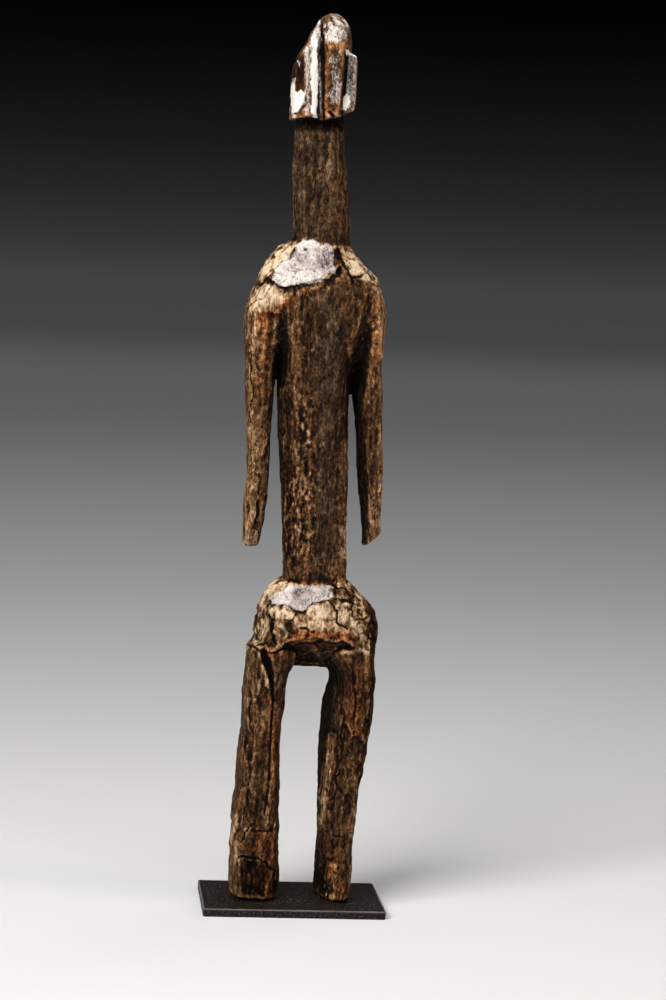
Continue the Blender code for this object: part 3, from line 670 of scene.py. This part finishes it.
def copyCarving():
    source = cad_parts["figure"]
    carving = bpy.data.objects.new("carvedFigure", source.data.copy())
    scene.collection.objects.link(carving)
    carving.data.materials.clear()
    makeActive(carving)
    bpy.ops.object.mode_set(mode="EDIT")
    bpy.ops.mesh.select_all(action="SELECT")
    bpy.ops.mesh.remove_doubles(threshold=carvingSetup["mergeWithin"])
    bpy.ops.object.mode_set(mode="OBJECT")
    applyModifier(carving, "REMESH", mode="VOXEL", voxel_size=carvingSetup["cell"], use_smooth_shade=True)
    applyModifier(
        carving, "SMOOTH", factor=carvingSetup["soften"], iterations=carvingSetup["softenRounds"],
    )
    print("carving remeshed to", len(carving.data.vertices), "points")
    return carving


def zoneOf(points):
    # how much each point belongs to each broad part of the figure
    height = points[:, 2] * 1000
    zones = {}
    for name, ends in zoneHeights.items():
        zones[name] = np.ones(len(points))
        if "from" in ends:
            zones[name] *= easeStep(height, *ends["from"])
        if "to" in ends:
            zones[name] *= 1 - easeStep(height, *ends["to"])
    return zones


def setGroup(piece, name, weights, steps=20):
    # a vertex group, with its weights in steps, because a group takes one weight at a time
    group = piece.vertex_groups.new(name=name)
    levels = np.round(np.clip(weights, 0, 1) * steps).astype(int)
    for level in range(1, steps + 1):
        chosen = np.flatnonzero(levels == level)
        if len(chosen):
            group.add(chosen.tolist(), level / steps, "REPLACE")


# How marks lie on the back: how far a point has to face the picture, and how ragged their edges are.
markSetup = {"facing": (-0.25, -0.05), "ragged": 4, "raggedRounds": 5}


def markFields(points, normals, ragged):
    # how strongly each kind of mark lies on each point of the back
    places = photoPlaces(points)
    facing = easeStep(-(normals @ np.array(cameraAxes()[2])), *markSetup["facing"])
    fields = {}
    for kind, patches in marks.items():
        fields[kind] = np.zeros(len(points))
        for soft, amount, outline in patches.values():
            gap = insideDistance(places, outline) + ragged * soft
            fields[kind] = np.maximum(fields[kind], easeStep(gap, -soft, soft) * amount * facing)
    return fields


# Wear on the side that the picture doesn't show: tops rubbed bare, and traces of white on the flaps,
# which begin at this distance in metres from the middle of the head.
hiddenSetup = {
    "facing": (-0.1, 0.3), "upwardRounds": 10, "upward": (0.1, 0.6),
    "rubbed": 0.6, "rubbedPatches": (-0.2, 0.4),
    "white": 0.36, "whitePatches": (-0.4, 0.8), "flapsFrom": (0.017, 0.024),
}


def wearHiddenSide(fields, points, normals, edges, zones, ragged):
    unseen = easeStep(normals @ np.array(cameraAxes()[2]), *hiddenSetup["facing"])
    upward = spread(normals, edges, hiddenSetup["upwardRounds"])[:, 2]
    upward = easeStep(upward, *hiddenSetup["upward"])
    rubbed = unseen * upward * np.maximum(zones["shoulders"], zones["pelvis"])
    rubbed *= easeStep(ragged, *hiddenSetup["rubbedPatches"])
    fields["bare"] = np.maximum(fields["bare"], hiddenSetup["rubbed"] * rubbed)
    headAxis = points[zones["head"] > 0.5, 0].mean()
    flaps = easeStep(np.abs(points[:, 0] - headAxis), *hiddenSetup["flapsFrom"])
    white = unseen * zones["head"] * flaps * easeStep(ragged, *hiddenSetup["whitePatches"])
    fields["ash"] = np.maximum(fields["ash"], hiddenSetup["white"] * white)


def reliefLayer(carving, name, layer):
    guide = bpy.data.objects.new(name + "Guide", None)
    scene.collection.objects.link(guide)
    guide.scale = [size / 1000 for size in layer["size"]]
    guide.rotation_euler = reliefTurn
    bpy.context.view_layer.update()
    texture = bpy.data.textures.new(name, layer["kind"])
    texture.noise_scale = 1.0
    if layer["kind"] == "CLOUDS":
        texture.noise_depth = 2
    applyModifier(
        carving, "DISPLACE", texture=texture, texture_coords="OBJECT", texture_coords_object=guide,
        strength=layer["depth"] / 1000, mid_level=0.5, vertex_group=layer["zone"],
    )
    bpy.data.objects.remove(guide)
    bpy.data.textures.remove(texture)


def hewFacets(points, normals, strength, chance):
    # flattens the form into tipped planes, each point onto the plane of its nearest cell
    seeds = chance.choice(len(points), facetSetup["count"], replace=False)
    stretched = np.array((1, 1, facetSetup["stretch"])) * 1000
    keys = np.hstack((points * stretched, normals * facetSetup["turn"]))
    tips = chance.normal(0, math.radians(facetSetup["tip"]), (len(seeds), 3))
    planes = normals[seeds] + tips
    planes /= np.linalg.norm(planes, axis=1)[:, None]
    cells = np.empty(len(points), int)
    for first in range(0, len(points), facetSetup["batch"]):
        part = keys[first:first + facetSetup["batch"]]
        gaps = (part ** 2).sum(1)[:, None] - 2 * part @ keys[seeds].T + (keys[seeds] ** 2).sum(1)
        cells[first:first + facetSetup["batch"]] = gaps.argmin(1)
    above = ((points - points[seeds[cells]]) * planes[cells]).sum(1)
    deepest = facetSetup["deepest"] / 1000
    return points - planes[cells] * (np.clip(above, -deepest, deepest) * strength)[:, None]


# Rim of each sole in metres: where the rounding starts above the sole, where it ends, and its depth.
soleSetup = {"from": 0.0002, "rim": 0.0045, "wear": 0.0028}


def wearSoles(points, normals):
    # rounds the rim of each sole, so that the feet stand in a line of shadow
    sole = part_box("figure")[0].z
    rise = 1 - easeStep(points[:, 2], sole + soleSetup["from"], sole + soleSetup["rim"])
    aside = normals * np.array((1, 1, 0))
    return points - aside * (rise * soleSetup["wear"])[:, None]


def easeForms(points, edges):
    # rubs down the places where two forms of the solid meet in a ledge
    places = photoPlaces(points)
    for rounds, outline in easedForms.values():
        level = easeStep(insideDistance(places, outline), 0, easedEdge)[:, None]
        points = points + (spread(points, edges, rounds) - points) * level
    return points


# Cross sections of cuts, in pixels or as shares of a cut's width, and the dirt and painted shade that they
# hold.
cutSetup = {
    "facing": (0.0, 0.2),
    "fineBelow": 6,  # cuts narrower than this waver
    "waver": (1.0, 0.8),  # across and down the picture
    "waverRounds": 14,
    "groove": (0.12, 0.62),  # shares of the width where its side starts and ends
    "wall": (-0.6, 1.2),  # the steep side of an undercut or a chip
    "underFade": 0.4,  # share of the width where an undercut starts to come back
    # painted shadow below an undercut's line: where it fades, in pixels, and how dark it is
    "underDark": (0.8, 2.2),
    "underShade": 0.5,
    # dirt and painted shade in a cut at its full depth
    "dirtAndShade": 0.85,
    "dirtAndShadeDepth": 1.8,  # millimetres of depth that hold all of the dirt and painted shade
    "chipWaver": 0.5,
    "rimDark": (0.4, 1.6),
    "rimDirt": 0.7,
}


def cutLevel(cut, gap, side, width):
    # share of a cut's depth that each point sinks by
    if cut.get("under"):
        sunk = easeStep(gap, *cutSetup["wall"]) * (1 - easeStep(gap, width * cutSetup["underFade"], width))
        return np.where(side > 0, sunk, 0)
    near, far = cutSetup["groove"]
    return 1 - easeStep(gap, width * near, width * far)


def makeCuts(points, normals, waver):
    # lowers or raises the back along the cuts, and says how much each point lies in one, as dirt and painted
    # shade in the cuts and painted shadow under the ledges; the waver, in pixels, keeps the lines from
    # running true
    straight = photoPlaces(points)
    forward = np.array(cameraAxes()[2])
    facing = easeStep(-(normals @ forward), *cutSetup["facing"])
    push, dark = np.zeros(len(points)), np.zeros(len(points))
    for cut in cuts.values():
        fine = np.max(cut["width"]) < cutSetup["fineBelow"] or cut.get("under")
        gap, side, along = lineDistance(straight + waver if fine else straight, cut["line"])
        knots = np.arange(len(cut["line"]))
        width = np.interp(along, knots, np.broadcast_to(cut["width"], len(knots)))
        depth = np.interp(along, knots, np.broadcast_to(cut["depth"], len(knots)))
        level = cutLevel(cut, gap, side, width)
        push = np.where(np.abs(level * depth) > np.abs(push), level * depth, push)
        # dirt and painted shade in the cut, darker as it deepens
        lined = level * np.clip(depth / cutSetup["dirtAndShadeDepth"], 0, 1)
        # below an undercut's line the dark is painted shadow under the ledge
        if cut.get("under"):
            shaded = 1 - easeStep(gap, *cutSetup["underDark"])
            lined = np.where(side > 0, shaded, 0) * cutSetup["underShade"]
        dark = np.maximum(dark, lined * cut.get("dark", cutSetup["dirtAndShade"]))
    for name, depth in chipDepths.items():
        gap = insideDistance(straight + waver * cutSetup["chipWaver"], marks["bare"][name][2])
        level = easeStep(gap, *cutSetup["wall"])
        push = np.where(level * depth > push, level * depth, push)
        rim = 1 - easeStep(np.abs(gap - cutSetup["wall"][0]), *cutSetup["rimDark"])
        dark = np.maximum(dark, cutSetup["rimDirt"] * rim)
    return points + forward * (push * facing / 1000)[:, None], dark * facing


def carve(carving):
    mesh = carving.data
    points, normals = readPoints(mesh), readPoints(mesh, "normal")
    edges = meshEdges(mesh)
    zones = zoneOf(points)
    chance = np.random.default_rng(carvingSetup["seed"])
    ragged = spread(chance.uniform(-1, 1, len(points)), edges, markSetup["raggedRounds"])
    ragged *= markSetup["ragged"]
    fields = markFields(points, normals, ragged)
    wearHiddenSide(fields, points, normals, edges, zones, ragged)

    # where the tools show: not on the soles, less under paint and glaze, most on yoke and pelvis
    loose = 1 - zones["feet"]
    painted = np.clip(fields["ash"] + fields["chalk"], 0, 1)
    rough = loose * (1 - filledShares["paint"] * painted) * (1 - filledShares["glaze"] * fields["glaze"])
    adzed = np.maximum.reduce([zones["shoulders"], zones["pelvis"], adzeShares["legs"] * zones["legs"]])
    adzed = np.maximum(adzed, adzeShares["elsewhere"]) * (1 - adzeShares["headLess"] * zones["head"])
    body = (1 - filledShares["paintOnBody"] * painted) * (1 - filledShares["headOnBody"] * zones["head"])
    grained = rough.copy()
    for name in ("head", "shoulders", "pelvis"):
        grained *= 1 - filledShares["grain"] * zones[name]

    form = spread(normals, edges, facetSetup["formRounds"])
    hewn = hewFacets(points, form, adzeShares["strength"] * adzed * rough, chance)
    waver = spread(chance.normal(0, 1, (len(points), 2)), edges, cutSetup["waverRounds"])
    waver *= np.array(cutSetup["waver"]) / waver.std(0)
    hewn = easeForms(spread(hewn, edges, facetSetup["edgeRounds"]), edges)
    hewn, fields["scored"] = makeCuts(hewn, normals, waver)
    writePoints(mesh, wearSoles(hewn, normals))
    setGroup(carving, "body", loose * body)
    setGroup(carving, "adzed", adzed * rough)
    setGroup(carving, "grained", grained)
    setGroup(carving, "crusted", fields["crust"] * loose)
    for name, layer in reliefLayers.items():
        reliefLayer(carving, name, layer)
    print("relief cut,", len(cuts), "cuts and", len(reliefLayers), "layers")
    return fields


# Rays that look for open air: how many, how far in metres, how far off the surface they start, and
# how much they lean to its normal. The share that is blocked darkens the wood as patina and painted shade.
raySetup = {"count": 10, "reach": 0.12, "lift": 0.0006, "lean": 1.05, "seed": 5, "shortest": 0.1}


def openness(points, normals, faces):
    # share of rays from each point that leave the carving freely
    tree = BVHTree.FromPolygons(points.tolist(), faces)
    chance = random.Random(raySetup["seed"])
    free = np.zeros(len(points))
    starts = points + normals * raySetup["lift"]
    for _ in range(raySetup["count"]):
        while True:
            way = np.array([chance.uniform(-1, 1) for _ in range(3)])
            if raySetup["shortest"] < way @ way < 1:
                break
        way /= np.linalg.norm(way)
        ways = way + normals * raySetup["lean"]
        ways /= np.linalg.norm(ways, axis=1)[:, None]
        for index, (start, ray) in enumerate(zip(starts.tolist(), ways.tolist())):
            if tree.ray_cast(start, ray, raySetup["reach"])[0] is None:
                free[index] += 1
    return free / raySetup["count"]


def keepAttribute(mesh, name, values):
    attribute = mesh.attributes.new(name, "FLOAT", "POINT")
    attribute.data.foreach_set("value", np.clip(values, 0, 1).astype(np.float32))


def holdHeight(mesh):
    # keeps the carving between its soles and the top of the solid's crest
    points = readPoints(mesh)
    points[:, 2] = np.clip(points[:, 2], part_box("figure")[0].z, cadHigh.z)
    writePoints(mesh, points)
    return points


# Weathering and painted light and shade by form: how much a millimetre that a point stands proud of its
# surroundings counts, on small forms (creases and ridges) and on broad ones (hollows and brows).
weatherAndShadeSetup = {
    "smallRounds": 6, "crease": 1.6, "ridge": 1.6,
    "broadRounds": 60, "hollow": 0.45, "brow": 0.35,
    "shelterRounds": 3, "upwardRounds": 10, "upward": (0.15, 0.75),
}


def weatherAndShade(carving, fields):
    mesh = carving.data
    points = holdHeight(mesh)
    normals = readPoints(mesh, "normal")
    edges = meshEdges(mesh)
    small = ((points - spread(points, edges, weatherAndShadeSetup["smallRounds"])) * normals).sum(1) * 1000
    broad = ((points - spread(points, edges, weatherAndShadeSetup["broadRounds"])) * normals).sum(1) * 1000
    faces = [tuple(face.vertices) for face in mesh.polygons]
    free = spread(openness(points, normals, faces), edges, weatherAndShadeSetup["shelterRounds"])
    upward = spread(normals, edges, weatherAndShadeSetup["upwardRounds"])[:, 2]
    # crease and hollow darken the wood with dirt and painted shade; ridge and brow lighten it with wear and
    # painted highlight
    keepAttribute(mesh, "crease", -small * weatherAndShadeSetup["crease"])
    keepAttribute(mesh, "ridge", small * weatherAndShadeSetup["ridge"])
    keepAttribute(mesh, "hollow", -broad * weatherAndShadeSetup["hollow"])
    keepAttribute(mesh, "brow", broad * weatherAndShadeSetup["brow"])
    # shelter darkens the wood with patina and painted shade where the carving closes over a point
    keepAttribute(mesh, "shelter", 1 - free)
    # upward lightens the tops: dust and wear, and painted light from above
    keepAttribute(mesh, "upward", easeStep(upward, *weatherAndShadeSetup["upward"]))
    for kind, field in fields.items():
        keepAttribute(mesh, kind, field)
    carving.vertex_groups.clear()
    print("weathering worked out")


def thinCarving(carving):
    applyModifier(carving, "DECIMATE", ratio=carvingSetup["keptShare"])
    mesh = carving.data
    holdHeight(mesh)
    mesh.calc_loop_triangles()
    print("carving thinned to", len(mesh.loop_triangles), "triangles")


# Patterns in the wood: feature size across, deep and along in millimetres, and the noise's settings.
# Growth rings are 1 to 2 mm wide and pores 0.3 mm; both are drawn coarser, because a pixel of the
# render is about 1 mm.
woodPatterns = {
    "streaks": {"size": (3.2, 3.2, 24), "detail": 4, "rough": 0.62, "bend": 0.5},  # growth rings
    "mottle": {"size": (14, 14, 24), "detail": 4, "rough": 0.6, "bend": 0.6},  # patchy patina
    "flecks": {"size": (3.0, 3.0, 5.2), "detail": 4, "rough": 0.72, "bend": 0.5},  # crust and dust
    "grit": {"size": (1.5, 1.5, 2.6), "detail": 3, "rough": 0.7, "bend": 0.0},  # open pores
    "rust": {"size": (7, 7, 13), "detail": 4, "rough": 0.65, "bend": 0.0},  # red earth in the oil
    "broad": {"size": (34, 34, 60), "detail": 2, "rough": 0.5, "bend": 0.0},
    "contour": {"size": (8, 8, 46), "detail": 2, "rough": 0.5, "bend": 0.8},  # drying cracks follow it
}

# How each pattern breaks up a mark: the mark, the pattern, and the share that stays along its ramp.
brokenMarks = {
    "brokenScore": ("scored", "mottle", [(0.36, 0.25), (0.56, 1.0)]),
    "brokenEmber": ("ember", "flecks", [(0.34, 0.1), (0.54, 1.0)]),
    "brokenGlaze": ("glaze", "mottle", [(0.40, 0.1), (0.56, 0.75)]),
    "brokenBare": ("bare", "flecks", [(0.36, 0.12), (0.53, 0.88)]),
    "brokenCrack": ("crackLine", "broad", [(0.48, 0.0), (0.60, 1.0)]),
}

# What lightens the wood and what darkens it, from a start below black.
# ridge, brow, tan and upward add painted highlights and light from above to wear; crease, hollow, shelter,
# sootAndShade and brokenScore add painted shade to dirt
toneStart = -0.534
tonePulls = {
    "streaks": 0.42, "mottle": 0.45, "flecks": 0.50, "grit": 0.46, "broad": 0.26,
    "ridge": 0.24, "brow": 0.10, "crease": -0.36, "hollow": -0.10, "shelter": -0.14, "sootAndShade": -0.22,
    "brokenScore": -0.30, "tan": 0.27, "bare": 0.12, "upward": 0.08, "cracks": -0.20,
}
heightPulls = {"flecks": 1.0, "grit": 0.5, "streaks": 0.6, "cracks": -0.8}

# Colours from the darkest tone to the lightest.
woodColours = {
    "patina": [
        (0.28, "#080402"), (0.40, "#180d06"), (0.54, "#3b2814"), (0.66, "#61472d"), (0.80, "#97785a"),
        (1.0, "#dcc5a8"),
    ],
    "ember": [(0.32, "#0c0301"), (0.46, "#331509"), (0.60, "#723a1a"), (0.78, "#b0733f"), (1.0, "#e2bd8a")],
    "glaze": [(0.28, "#0a0706"), (0.50, "#332a20"), (0.70, "#655746"), (1.0, "#a89a88")],
    "bare": [(0.34, "#402e1c"), (0.56, "#a58b6a"), (0.90, "#dfcbb0")],
}
rustStops = [(0.50, 0.0), (0.66, 0.42)]
crackStops = [(0.0, 1.0), (0.008, 0.7), (0.022, 0.0)]

# White paint, an ash wash and a chalk one: how grainy each is at its edge, how its share rises over
# the edge, where it stops, and its colours.
paintLayers = {
    "ash": {
        "grain": 1.1, "edge": [(0.16, 0.0), (0.58, 1.0)], "within": [(0.05, 0.0), (0.25, 1.0)],
        "colours": [(0.26, "#4c4442"), (0.44, "#928a88"), (0.60, "#bdb6b4"), (0.88, "#efeae8")],
    },
    "chalk": {
        "grain": 1.3, "edge": [(0.2, 0.0), (0.68, 1.0)], "within": [(0.05, 0.0), (0.3, 1.0)],
        "colours": [(0.0, "#fbf7f0")],
    },
}
paintPulls = {"mottle": 0.75, "flecks": 0.5, "grit": 0.22}
paintTone = {"fromWood": 0.5, "start": -0.465}
sootAndShadeOverAsh = -0.9

woodGloss = {
    "byTone": {"From Min": 0.4, "From Max": 0.8, "To Min": 0.5, "To Max": 0.82},
    "byShelter": {"From Min": 0.15, "From Max": 0.5, "To Min": 0.5, "To Max": 1.0},
    "bump": {"Strength": 0.9, "Distance": 0.0022},
    "shader": {"IOR": 1.5, "Specular IOR Level": 0.08},
}


def carvedWood():
    # Dense savanna hardwood, adzed and knife cut, then smoked, oiled and long handled: near black
    # in the cuts, with painted shade there too, brown along the grain, tan where chips and edges have worn
    # through the patina, and painted highlights on the lit edges.
    wood = bpy.data.materials.new("smokedHardwoodAdzed")
    wood.use_nodes = True
    tree = wood.node_tree
    tree.nodes.clear()
    place = addNode(tree, "ShaderNodeTexCoord").outputs["Object"]
    parts = {}
    for name in ("crease", "ridge", "hollow", "brow", "shelter", "scored", "upward", *marks):
        parts[name] = addNode(tree, "ShaderNodeAttribute", attribute_name=name).outputs["Fac"]
    for name, look in woodPatterns.items():
        moved = addNode(tree, "ShaderNodeMapping", {"Vector": place, "Scale": perMm(*look["size"])})
        parts[name] = addNode(tree, "ShaderNodeTexNoise", {
            "Vector": moved, "Scale": 1.0, "Detail": look["detail"], "Roughness": look["rough"],
            "Distortion": look["bend"],
        })

    # drying cracks: the thin contour of a noise drawn out along the grain, only in some places
    contour = addNode(tree, "ShaderNodeMath", {0: parts["contour"], 1: 0.5}, operation="SUBTRACT")
    contour = addNode(tree, "ShaderNodeMath", {0: contour}, operation="ABSOLUTE")
    parts["crackLine"] = addNode(tree, "ShaderNodeValToRGB", {"Fac": contour}, crackStops)
    for name, (mark, pattern, stops) in brokenMarks.items():
        share = addNode(tree, "ShaderNodeValToRGB", {"Fac": parts[pattern]}, stops)
        parts[name] = addNode(tree, "ShaderNodeMath", {0: parts[mark], 1: share}, operation="MULTIPLY")
    painted = addNode(tree, "ShaderNodeMath", {0: parts["ash"], 1: parts["chalk"]}, operation="MAXIMUM")
    unpainted = addNode(tree, "ShaderNodeMath", {0: 1.0, 1: painted}, operation="SUBTRACT")
    parts["cracks"] = addNode(tree, "ShaderNodeMath", {
        0: parts["brokenCrack"], 1: unpainted,
    }, operation="MULTIPLY")

    tone = toneStart
    for name, pull in tonePulls.items():
        tone = addNode(tree, "ShaderNodeMath", {0: parts[name], 1: pull, 2: tone}, operation="MULTIPLY_ADD")

    # red earth in the oil in patches of its own; the marks add red earth and painted warm highlights on lit
    # edges
    rust = addNode(tree, "ShaderNodeValToRGB", {"Fac": parts["rust"]}, rustStops)
    unglazed = addNode(tree, "ShaderNodeMath", {0: 1.0, 1: parts["glaze"]}, operation="SUBTRACT")
    rust = addNode(tree, "ShaderNodeMath", {0: rust, 1: unglazed}, operation="MULTIPLY")
    shares = {
        "ember": addNode(tree, "ShaderNodeMath", {0: rust, 1: parts["brokenEmber"]}, operation="MAXIMUM"),
        "glaze": parts["brokenGlaze"],
        "bare": parts["brokenBare"],
    }
    colour = addNode(tree, "ShaderNodeValToRGB", {"Fac": tone}, woodColours["patina"])
    for name, share in shares.items():
        laid = addNode(tree, "ShaderNodeValToRGB", {"Fac": tone}, woodColours[name])
        colour = addNode(tree, "ShaderNodeMix", {0: share, 6: colour, 7: laid}, data_type="RGBA").outputs[2]

    # the white paint lies over all, grainy at its edge, and thinned where soot and painted shade lie
    whiteTone = addNode(tree, "ShaderNodeMath", {
        0: tone, 1: paintTone["fromWood"], 2: paintTone["start"],
    }, operation="MULTIPLY_ADD")
    for name, pull in paintPulls.items():
        whiteTone = addNode(tree, "ShaderNodeMath", {
            0: parts[name], 1: pull, 2: whiteTone,
        }, operation="MULTIPLY_ADD")
    speck = addNode(tree, "ShaderNodeMath", {0: parts["grit"], 1: 0.5}, operation="SUBTRACT")
    ashLessSootAndShade = addNode(tree, "ShaderNodeMath", {
        0: parts["sootAndShade"], 1: sootAndShadeOverAsh, 2: parts["ash"],
    }, operation="MULTIPLY_ADD")
    for name, laid in (("ash", ashLessSootAndShade), ("chalk", parts["chalk"])):
        paint = paintLayers[name]
        grainy = addNode(tree, "ShaderNodeMath", {
            0: speck, 1: paint["grain"], 2: laid,
        }, operation="MULTIPLY_ADD")
        edge = addNode(tree, "ShaderNodeValToRGB", {"Fac": grainy}, paint["edge"])
        within = addNode(tree, "ShaderNodeValToRGB", {"Fac": laid}, paint["within"])
        share = addNode(tree, "ShaderNodeMath", {0: edge, 1: within}, operation="MULTIPLY")
        white = addNode(tree, "ShaderNodeValToRGB", {"Fac": whiteTone}, paint["colours"])
        colour = addNode(tree, "ShaderNodeMix", {0: share, 6: colour, 7: white}, data_type="RGBA").outputs[2]

    # a dull sheen on the worn wood, and none under soot and painted shade and in deep places
    rough = addNode(tree, "ShaderNodeMapRange", {"Value": tone, **woodGloss["byTone"]})
    deep = addNode(tree, "ShaderNodeMath", {0: parts["sootAndShade"], 1: parts["shelter"]}, operation="MAXIMUM")
    dull = addNode(tree, "ShaderNodeMapRange", {"Value": deep, **woodGloss["byShelter"]})
    rough = addNode(tree, "ShaderNodeMath", {0: rough, 1: dull}, operation="MAXIMUM")
    height = 0.0
    for name, pull in heightPulls.items():
        height = addNode(tree, "ShaderNodeMath", {
            0: parts[name], 1: pull, 2: height,
        }, operation="MULTIPLY_ADD")
    bump = addNode(tree, "ShaderNodeBump", {"Height": height, **woodGloss["bump"]})
    shader = addNode(tree, "ShaderNodeBsdfPrincipled", {
        "Base Color": colour, "Roughness": rough, "Normal": bump, **woodGloss["shader"],
    })
    addNode(tree, "ShaderNodeOutputMaterial", {"Surface": shader})
    return wood


# Patterns in the plate's paint. The speckle stands for mill scale and dust of under 1 mm; it is drawn
# coarser, and longer from front to back, because the top is seen at a very low angle.
platePatterns = {
    "speckle": {"size": (2.0, 6.5, 2.0), "detail": 4, "rough": 0.75},
    "clouds": {"size": (30, 16, 30), "detail": 3, "rough": 0.6},
    "brushed": {"size": (26, 1.4, 3), "detail": 3, "rough": 0.6},
}
plateColours = {
    "paint": [(0.44, "#010101"), (0.50, "#070605"), (0.55, "#201914"), (0.64, "#564c44")],
    "dust": "#2a2624",
    # grey of the painted highlight along the top edges
    "rubbed": "#7a7173",
}
plateWear = {
    "dust": [(0.45, 0.0), (0.75, 0.15)],
    "sideBand": {"From Min": -0.0018, "From Max": -0.0008},  # metres from the edge
    "topBand": {"From Min": -0.0016, "From Max": -0.0006},  # metres from the top
    "patches": {"From Min": 0.3, "From Max": 0.6, "To Min": 0.35, "To Max": 0.85},
    "roughness": {"To Min": 0.42, "To Max": 0.68},
    "bump": {"Strength": 0.35, "Distance": 0.0005},
    "specular": 0.2,
}


def blackenedSteel(plate):
    # Hot-rolled steel sheet, sawn and edge filed, brush painted satin black: a dull broken sheen
    # with dust, and a grey painted highlight in patches along the filed top edges.
    steel = bpy.data.materials.new("blackPaintedSteel")
    steel.use_nodes = True
    tree = steel.node_tree
    tree.nodes.clear()
    place = addNode(tree, "ShaderNodeTexCoord").outputs["Object"]
    parts = {}
    for name, look in platePatterns.items():
        moved = addNode(tree, "ShaderNodeMapping", {"Vector": place, "Scale": perMm(*look["size"])})
        parts[name] = addNode(tree, "ShaderNodeTexNoise", {
            "Vector": moved, "Scale": 1.0, "Detail": look["detail"], "Roughness": look["rough"],
        })
    colour = addNode(tree, "ShaderNodeValToRGB", {"Fac": parts["speckle"]}, plateColours["paint"])
    dusty = addNode(tree, "ShaderNodeValToRGB", {"Fac": parts["clouds"]}, plateWear["dust"])
    colour = addNode(tree, "ShaderNodeMix", {
        0: dusty, 6: colour, 7: hexColour(plateColours["dust"]),
    }, data_type="RGBA").outputs[2]

    # a painted highlight in grey, in patches along the filed edge round the top
    apart = addNode(tree, "ShaderNodeSeparateXYZ", {0: place})
    insets = []
    for axis, size in (("X", plate.dimensions.x), ("Y", plate.dimensions.y)):
        side = addNode(tree, "ShaderNodeMath", {0: apart.outputs[axis]}, operation="ABSOLUTE")
        insets.append(addNode(tree, "ShaderNodeMath", {0: side, 1: size / 2}, operation="SUBTRACT"))
    inset = addNode(tree, "ShaderNodeMath", {0: insets[0], 1: insets[1]}, operation="MAXIMUM")
    below = addNode(tree, "ShaderNodeMath", {
        0: apart.outputs["Z"], 1: plate.dimensions.z,
    }, operation="SUBTRACT")
    rubbed = addNode(tree, "ShaderNodeMapRange", {"Value": parts["clouds"], **plateWear["patches"]})
    for value, band in ((inset, "sideBand"), (below, "topBand")):
        near = addNode(tree, "ShaderNodeMapRange", {"Value": value, **plateWear[band]})
        rubbed = addNode(tree, "ShaderNodeMath", {0: rubbed, 1: near}, operation="MULTIPLY")
    colour = addNode(tree, "ShaderNodeMix", {
        0: rubbed, 6: colour, 7: hexColour(plateColours["rubbed"]),
    }, data_type="RGBA").outputs[2]
    rough = addNode(tree, "ShaderNodeMapRange", {"Value": parts["brushed"], **plateWear["roughness"]})
    height = addNode(tree, "ShaderNodeMath", {0: parts["speckle"], 1: parts["brushed"]}, operation="ADD")
    bump = addNode(tree, "ShaderNodeBump", {"Height": height, **plateWear["bump"]})
    shader = addNode(tree, "ShaderNodeBsdfPrincipled", {
        "Base Color": colour, "Roughness": rough, "Specular IOR Level": plateWear["specular"],
        "Normal": bump,
    })
    addNode(tree, "ShaderNodeOutputMaterial", {"Surface": shader})
    return steel


makeCamera()
makeLights()
makeWalls()
makeFloor()
print("studio set")

carving = copyCarving()
markedFields = carve(carving)
weatherAndShade(carving, markedFields)
thinCarving(carving)
carving.data.materials.append(carvedWood())
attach(carving, "root")
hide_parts("figure")

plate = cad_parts["base_plate"]
steel = blackenedSteel(plate)
for slot in plate.material_slots:
    slot.material = steel
print("finishes on")

scene.view_settings.view_transform = "Standard"
